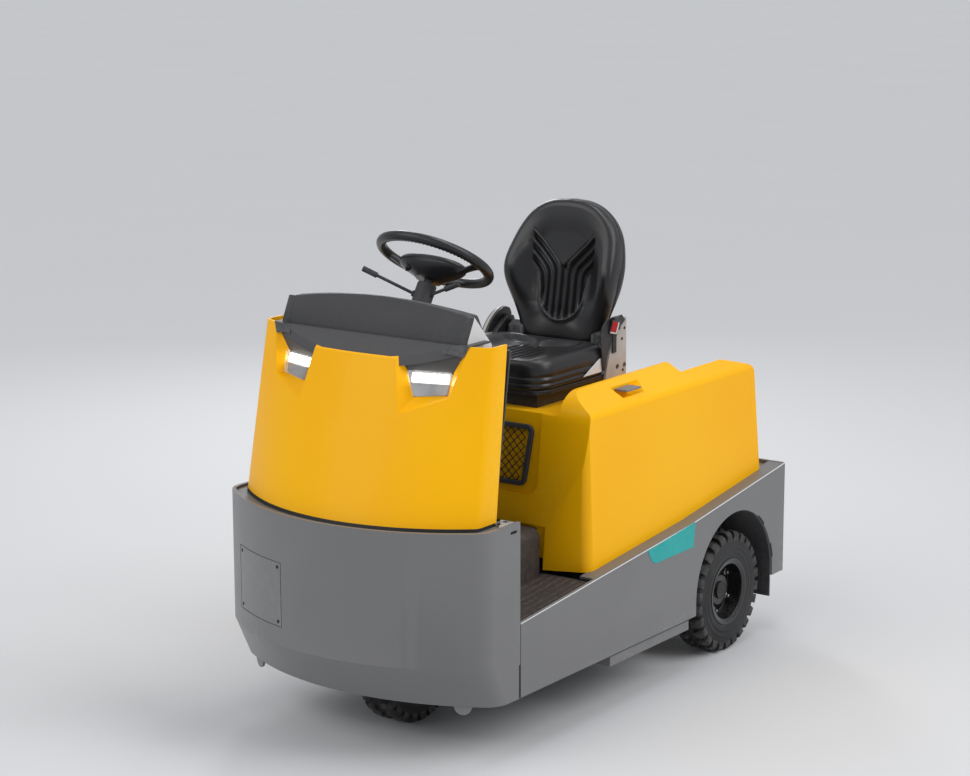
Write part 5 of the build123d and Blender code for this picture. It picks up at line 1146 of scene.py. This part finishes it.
BUCKLE_OUT = Vector((0.80, -0.60, 0.0))
BUCKLE_ACROSS = Vector((0.60, 0.80, -0.25)).normalized()
BUCKLE_AXES = (BUCKLE_ACROSS, BUCKLE_OUT.cross(BUCKLE_ACROSS), BUCKLE_OUT)
BUCKLE_MIDDLE = at_mm(250, 226, 1168)
BUCKLE_PARTS = [
    ("buckle_head", "seat_metal", (-14.0, 15.0, -25.0, 22.0, -6.0, 6.0)),
    ("buckle_press", "buckle_red", (-11.0, 8.0, -15.0, 19.0, 5.0, 8.0)),
    ("buckle_edge", "pale_plastic", (8.5, 13.0, -20.0, 19.0, 5.0, 7.4)),
    ("buckle_foot", "pale_plastic", (-11.0, 8.5, -21.0, -16.0, 5.0, 7.4)),
]
dress("belt_buckle", "battery_hood", "seat_metal", 3.0 * MM)
for name, finish, size in BUCKLE_PARTS:
    block = axis_block(name, BUCKLE_MIDDLE, BUCKLE_AXES, size, 1.5)
    settle(block, "battery_hood", finish)

BRACKET_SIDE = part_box("seat_bracket")[1][0] / MM
COVER_FRONT = [Vector(point) for point in ((178, 1036), (172, 1084), (164, 1130), (172, 1172), (204, 1197))]
COVER_TOP = [Vector((290, 1200))]
COVER_REAR = [Vector(point) for point in ((312, 1180), (266, 1150), (228, 1119), (204, 1078), (195, 1036))]
cover_line = smooth_line(COVER_FRONT, 5) + COVER_TOP + smooth_line(COVER_REAR, 5)
side_plate(
    "recliner_cover", "battery_hood", "seat_metal", [(point.x, point.y) for point in cover_line],
    BRACKET_SIDE + 0.1, 3.6, 1.4)

ARM_CASE = [
    (186, 1022), (316, 1022), (318, 1128), (306, 1152), (284, 1156), (258, 1146), (222, 1124), (190, 1104)]
case = side_plate("arm_cases", "battery_hood", "seat_metal", ARM_CASE, 205.0, 21.0, 5.0)
with_mirror_twin(case)
SHROUD = [(250, 1072), (318, 1072), (320, 1112), (306, 1136), (284, 1142), (260, 1128)]
shroud = side_plate("hinge_shrouds", "battery_hood", "seat_metal", SHROUD, 132.0, 74.0, 14.0)
with_mirror_twin(shroud)

GUARD_LOW, GUARD_HIGH = (Vector(corner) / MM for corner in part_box("hip_restraint"))
GUARD_EDGE = [Vector(point) for point in (
    (156, 1066), (176, 1108), (206, 1144), (244, 1170), (284, 1180), (310, 1174), (322, 1156))]
GUARD_FOOT = [(322, 1062), (156, 1062)]


def guard_part(name, finish, grow_by, x_from, x_to, replaces=()):
    """Curved panel beside the seat, with its front edge moved out a little."""
    edge = [(point.x - grow_by, point.y + grow_by) for point in smooth_line(GUARD_EDGE, 6)]
    foot = [(y - grow_by, z) for y, z in GUARD_FOOT]
    outline = [at_mm(x_from, y, z) for y, z in edge + foot]
    piece = slab(name, outline, at_mm(x_to - x_from, 0, 0), 1.2 * MM)
    return settle(piece, "battery_hood", finish, replaces)


guard_part("hip_restraint_panel", "seat_metal", 0.0, GUARD_LOW.x + 3, GUARD_HIGH.x - 1, ("hip_restraint",))
guard_part("hip_restraint_edge", "bracket_grey", 1.6, GUARD_LOW.x + 8, GUARD_HIGH.x - 9)

SEAT_PLATE = [(74, 1024), (182, 1024), (182, 1070), (168, 1069)]
side_plate(
    "seat_side_plate", "battery_hood", "pale_plastic", SEAT_PLATE, CUSHION_HIGH.x / MM - 1.2, 3.2, 1.2)
SEAT_BOLTS = [(296, 1118), (310, 1152), (303, 1012)]
bolt_spots = [(at_mm(BRACKET_SIDE, y, z), (1, 0, 0)) for y, z in SEAT_BOLTS]
fasten("seat_bolts", "battery_hood", "dark_screw", bolt_spots, 3.6, 2.5, 5.0)


# Net pocket

POCKET_LOW, POCKET_HIGH = (Vector(corner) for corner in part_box("pocket_frame"))
POCKET_T = 14.0
POCKET_BAR = 16.0
POCKET_OVERLAP = 2.0
NET_PITCH = 28.0
NET_CORD = 1.6
NET_WEAVE = 0.9
NET_SAG = 3.0
NET_HALF_LOW = 196.0
NET_HALF_HIGH = 216.0


def on_pocket(x, along, out):
    """Point on the leaning pocket: across, up and out from its back, in millimetres."""
    lean = math.atan2(POCKET_HIGH.y - POCKET_LOW.y - POCKET_T * MM, POCKET_HIGH.z - POCKET_LOW.z)
    foot = Vector((0, POCKET_LOW.y + POCKET_T * MM, POCKET_LOW.z))
    return leaning(foot, lean, x, -out, along)


def net_strands():
    """Diagonal strands both ways across the frame's opening, passing over and under each other."""
    tall = (POCKET_HIGH.z - POCKET_LOW.z) / MM
    low = POCKET_BAR - POCKET_OVERLAP
    high = tall - POCKET_BAR + POCKET_OVERLAP
    points = []
    edges = []
    reach = NET_HALF_HIGH + tall
    for slope in (1, -1):
        for lane in range(int(2 * reach / NET_PITCH)):
            run = []
            for step in range(int((high - low) / (NET_PITCH / 2)) + 2):
                along = min(low + step * NET_PITCH / 2, high)
                x = slope * (along - low) - reach + lane * NET_PITCH
                half = NET_HALF_LOW + (NET_HALF_HIGH - NET_HALF_LOW) * along / tall
                if abs(x) <= half:
                    over = NET_WEAVE if (step + lane + (slope > 0)) % 2 else -NET_WEAVE
                    sag = NET_SAG * math.sin(math.pi * (along - low) / (high - low))
                    run.append(on_pocket(x, along, POCKET_T / 2 + over + sag))
            edges += [(len(points) + i, len(points) + i + 1) for i in range(len(run) - 1)]
            points += run
    mesh = bpy.data.meshes.new("pocket_net")
    mesh.from_pydata(points, edges, [])
    return link("pocket_net", mesh)


net = grow(net_strands(), STRANDS, "net_cord", {"Cord": NET_CORD * MM})
settle(net, "battery_hood", "net_cord")


# Headlamps

LAMP_YAW = math.radians(17.4)
LAMP_LEAN = math.radians(17.0)
LAMP_RIGHT = Vector((math.cos(LAMP_YAW), math.sin(LAMP_YAW), 0))
LAMP_OUT = Vector((
    math.sin(LAMP_YAW) * math.cos(LAMP_LEAN),
    -math.cos(LAMP_YAW) * math.cos(LAMP_LEAN),
    math.sin(LAMP_LEAN)))
LAMP_UP = LAMP_OUT.cross(LAMP_RIGHT)
LAMP_AXES = (LAMP_RIGHT, LAMP_UP, LAMP_OUT)
LENS_T = 12.0
CELL_COUNT = 6
CELL_PITCH = 19.4
CELL_SIZE = (-55.0, -38.0, 5.0, 32.0, -LENS_T, -7.0)
LEDGE_SIZE = (-57.0, 62.0, -1.0, 2.5, -LENS_T, -4.0)


def lens_centre():
    """Middle of the left lens's front face."""
    spots = [vertex.co for vertex in NODES["headlamp_lenses"].data.vertices if vertex.co.x > 0]
    centre = Vector((0, 0, 0))
    for axis in (LAMP_RIGHT, LAMP_UP):
        reach = [spot.dot(axis) for spot in spots]
        centre += axis * (min(reach) + max(reach)) / 2
    return centre + LAMP_OUT * max(spot.dot(LAMP_OUT) for spot in spots)


LENS_MIDDLE = lens_centre()
cells = axis_block("lamp_cells", LENS_MIDDLE, LAMP_AXES, CELL_SIZE, 2.5)
grow(cells, IN_ROW, "lamp_light", {"Count": CELL_COUNT, "Step": LAMP_RIGHT * CELL_PITCH * MM})
settle(with_mirror_twin(cells), "chassis", "lamp_light")
ledges = axis_block("lamp_ledges", LENS_MIDDLE, LAMP_AXES, LEDGE_SIZE, 1.0)
settle(with_mirror_twin(ledges), "chassis", "lamp_case")


# Trim on the panels

SKIRT_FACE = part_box("side_skirt_left")[1][0] / MM
LABEL_CORNERS = [(104, 433), (343, 435), (351, 519), (58, 486), (64, 470), (84, 444)]
side_plate("side_label", "chassis", "teal_plate", LABEL_CORNERS, SKIRT_FACE - 0.2, 1.6, 0.7)

ARCH_Y = 625.0
ARCH_Z = 237.0
ARCH_R = 258.0
CLIP_OVERLAP = 1.0
CLIP_WIDE = 5.0
CLIP_SPAN = 12.0
ARCH_CLIPS = [("arch_clip_high", 48.0), ("arch_clip_low", 15.0)]


def arch_clip(name, middle_deg):
    """Dark clip along the edge of the wheel arch."""
    def arc(radius, angles):
        return [(ARCH_Y + radius * math.cos(t), ARCH_Z + radius * math.sin(t)) for t in angles]

    angles = [math.radians(middle_deg + CLIP_SPAN * (step / 8 - 0.5)) for step in range(9)]
    outline = arc(ARCH_R - CLIP_OVERLAP, angles) + arc(ARCH_R + CLIP_WIDE, angles[::-1])
    piece = side_plate(name, "chassis", "black_trim_and_gap_shade", outline, SKIRT_FACE - 0.3, 1.8, 0.6)
    return with_mirror_twin(piece)


for name, middle_deg in ARCH_CLIPS:
    arch_clip(name, middle_deg)

# Painted highlight: a pale bead along each skirt's rounded upper edge stands for the light caught there.
EDGE_HIGHLIGHT_X = 492.0
EDGE_HIGHLIGHT_R = 2.4
EDGE_HIGHLIGHT = [(-656, 421.4), (-245, 459.8), (341, 514.2), (958, 598.2)]


def painted_edge_highlight():
    """Thin pale bead along the rounded upper edge of a skirt, a painted highlight for the light caught on
    that edge.
    """
    mesh = bpy.data.meshes.new("painted_edge_highlights")
    points = [at_mm(EDGE_HIGHLIGHT_X, y, z) for y, z in EDGE_HIGHLIGHT]
    mesh.from_pydata(points, [(i, i + 1) for i in range(len(points) - 1)], [])
    return grow(link("painted_edge_highlights", mesh), STRANDS, "pale_plastic", {"Cord": EDGE_HIGHLIGHT_R * MM})


settle(with_mirror_twin(painted_edge_highlight()), "chassis", "pale_plastic")

# Painted shade: dark strips under each skirt's lower edge on the sill, and in the joint between the bumper
# and each skirt, stand for the shade in those gaps.
GAP_SHADE_STRIPS = [
    ("sill_gap_shade", [(-146, 181.5), (336, 181.5), (336, 189.5), (-146, 189.5)], 484.7, 1.0),
    ("joint_gap_shade", [(-669, 192), (-661, 192), (-661, 296), (-669, 296)], 494.6, 0.8),
]
for name, corners, x, thick in GAP_SHADE_STRIPS:
    seam = side_plate(name, "chassis", "black_trim_and_gap_shade", corners, x, thick, 0.3)
    with_mirror_twin(seam)

HATCH_LOW, HATCH_HIGH = (Vector(corner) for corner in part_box("bumper_access_panel"))
BUMPER_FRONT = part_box("front_bumper")[0][1]
HATCH_RISE = HATCH_LOW.y - BUMPER_FRONT
BUMPER_R = (HATCH_HIGH.x**2 + HATCH_RISE**2) / (2 * HATCH_RISE)
SCREW_IN = 14.0 * MM


def on_bumper(x, z):
    """Point on the bumper's bowed face, with the way that it faces."""
    out = Vector((x, -math.sqrt(BUMPER_R**2 - x**2), 0)) / BUMPER_R
    return Vector((0, BUMPER_FRONT + BUMPER_R, z)) + out * BUMPER_R, out


hatch_spots = [
    on_bumper(x, z)
    for x in (HATCH_LOW.x + SCREW_IN, HATCH_HIGH.x - SCREW_IN)
    for z in (HATCH_LOW.z + SCREW_IN, HATCH_HIGH.z - SCREW_IN)]
fasten("hatch_screws", "chassis", "dark_screw", hatch_spots, 4.2, 1.8, 5.6, sides=12)

PLATE_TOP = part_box("bumper_corner_plates")[1][2] / MM
PLATE_SCREWS = [(456, -716), (456, -684)]
plate_spots = [(at_mm(side * x, y, PLATE_TOP), (0, 0, 1)) for side in (-1, 1) for x, y in PLATE_SCREWS]
fasten("corner_plate_screws", "chassis", "dark_screw", plate_spots, 4.5, 2.0, 7.0, sides=12)

COUPLING_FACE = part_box("tow_coupling")[0][1] / MM + 16.0
COUPLING_BOLTS = [(48, 289), (48, 359), (48, 429)]
PANEL_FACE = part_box("rear_panel")[1][1] / MM
PANEL_BOLTS = [(440, 260), (440, 420), (120, 590)]


def rear_spots(face, spots):
    """Bolt places on a face that looks to the rear, on both sides of the middle."""
    return [(at_mm(side * x, face, z), (0, 1, 0)) for side in (-1, 1) for x, z in spots]


fasten(
    "coupling_bolts", "chassis", "bright_screw", rear_spots(COUPLING_FACE, COUPLING_BOLTS), 8.5, 7.0, 12.0)
fasten("rear_panel_bolts", "chassis", "dark_screw", rear_spots(PANEL_FACE, PANEL_BOLTS), 6.5, 5.0, 10.0)

HOOD_GRIP = [(360.4, 58), (409.6, 58), (409.6, 142), (360.4, 142)]
HOOD_GRIP_LOW = 998.0
HOOD_GRIP_THICK = 6.0
grip_outline = [at_mm(x, y, HOOD_GRIP_LOW) for x, y in HOOD_GRIP]
grip = slab("grip_insert", grip_outline, at_mm(0, 0, HOOD_GRIP_THICK), 1.0 * MM)
settle(with_mirror_twin(grip), "battery_hood", "grey_paint")


# Stage

FLOOR_REACH = 120.0
LIGHT_COLOUR = (0.90, 0.92, 0.95, 1)
LIGHT_LEVEL = 0.43
BACKDROP_LEVEL = 0.60
SUNS = [
    ("key_light", (4.6, 1.8, 4.4), 1.15, 40.0),
    ("front_light", (-2.6, -5.0, 4.0), 1.0, 50.0),
]
STRIPS = [
    ("side_strip", (4.6, 0.4, 2.6), 0.7, 2.6, 28.0),
    ("front_strip", (1.2, -5.0, 3.4), 2.6, 0.6, 26.0),
    ("rear_strip", (-3.2, 3.4, 3.2), 0.7, 2.6, 45.0),
    ("top_strip", (0.6, 0.6, 4.6), 2.6, 0.8, 34.0),
]
STRIP_AIM = (0.0, -0.1, 0.8)
VIEW_PLACE = (4.5292, -6.4571, 2.6195)
VIEW_AZIMUTH = math.radians(35.69)
VIEW_PITCH = math.radians(11.79)
VIEW_ROLL = math.radians(-0.13)
VIEW_LENS = 91.2


def build_floor():
    """Pale floor that keeps the object's shadow."""
    bm = bmesh.new()
    bmesh.ops.create_grid(bm, x_segments=1, y_segments=1, size=FLOOR_REACH)
    mesh = bpy.data.meshes.new("studio_floor")
    bm.to_mesh(mesh)
    bm.free()
    floor = link("studio_floor", mesh)
    mesh.materials.append(surface(
        "studio_floor", (214, 215, 217), (213, 214, 216), 0.75, tone_scale=0.6, grain=120.0, bump=0.01))


def build_world():
    """Even surround, a little cooler than the lamps, seen as a pale backdrop."""
    world = bpy.data.worlds.new("studio")
    world.use_nodes = True
    tree = world.node_tree
    path = tree.nodes.new("ShaderNodeLightPath")
    seen = path.outputs["Is Camera Ray"]
    for label in ("Is Glossy Ray", "Is Transmission Ray"):
        seen = add_math(tree, "MAXIMUM", seen, path.outputs[label])
    level = add_range(tree, seen, 0.0, 1.0, LIGHT_LEVEL, BACKDROP_LEVEL)
    feed(tree, tree.nodes["Background"], {"Color": LIGHT_COLOUR, "Strength": level})
    bpy.context.scene.world = world


def hang_lamp(name, lamp, place, target):
    """Puts a lamp in the scene, looking at a point."""
    holder = bpy.data.objects.new(name, lamp)
    bpy.context.scene.collection.objects.link(holder)
    holder.location = place
    holder.rotation_euler = (Vector(target) - Vector(place)).to_track_quat("-Z", "Y").to_euler()


def add_sun(name, place, strength, spread_deg):
    """Even light from one side with a soft shadow."""
    lamp = bpy.data.lights.new(name, "SUN")
    lamp.energy = strength
    lamp.angle = math.radians(spread_deg)
    hang_lamp(name, lamp, place, (0, 0, 0))


def add_strip(name, place, width, height, power):
    """Strip lamp that draws a highlight along rounded edges."""
    lamp = bpy.data.lights.new(name, "AREA")
    lamp.shape = "RECTANGLE"
    lamp.size = width
    lamp.size_y = height
    lamp.energy = power
    hang_lamp(name, lamp, place, STRIP_AIM)


def build_camera():
    """Camera at the photograph's viewing angle, worked out from its perspective."""
    right = Vector((math.cos(VIEW_AZIMUTH), math.sin(VIEW_AZIMUTH), 0))
    ahead = Vector((
        -math.sin(VIEW_AZIMUTH) * math.cos(VIEW_PITCH),
        math.cos(VIEW_AZIMUTH) * math.cos(VIEW_PITCH),
        -math.sin(VIEW_PITCH)))
    up = right.cross(ahead)
    camera = bpy.data.cameras.new("photo_view")
    camera.sensor_width = 36.0
    camera.lens = VIEW_LENS
    camera.clip_end = 200.0
    holder = bpy.data.objects.new("photo_view", camera)
    bpy.context.scene.collection.objects.link(holder)
    turn = Matrix((right, up, -ahead)).transposed().to_4x4()
    holder.matrix_world = Matrix.Translation(VIEW_PLACE) @ turn @ Matrix.Rotation(VIEW_ROLL, 4, "Z")
    bpy.context.scene.camera = holder


build_floor()
build_world()
for sun in SUNS:
    add_sun(*sun)
for strip in STRIPS:
    add_strip(*strip)
build_camera()
bpy.context.scene.view_settings.view_transform = "Standard"
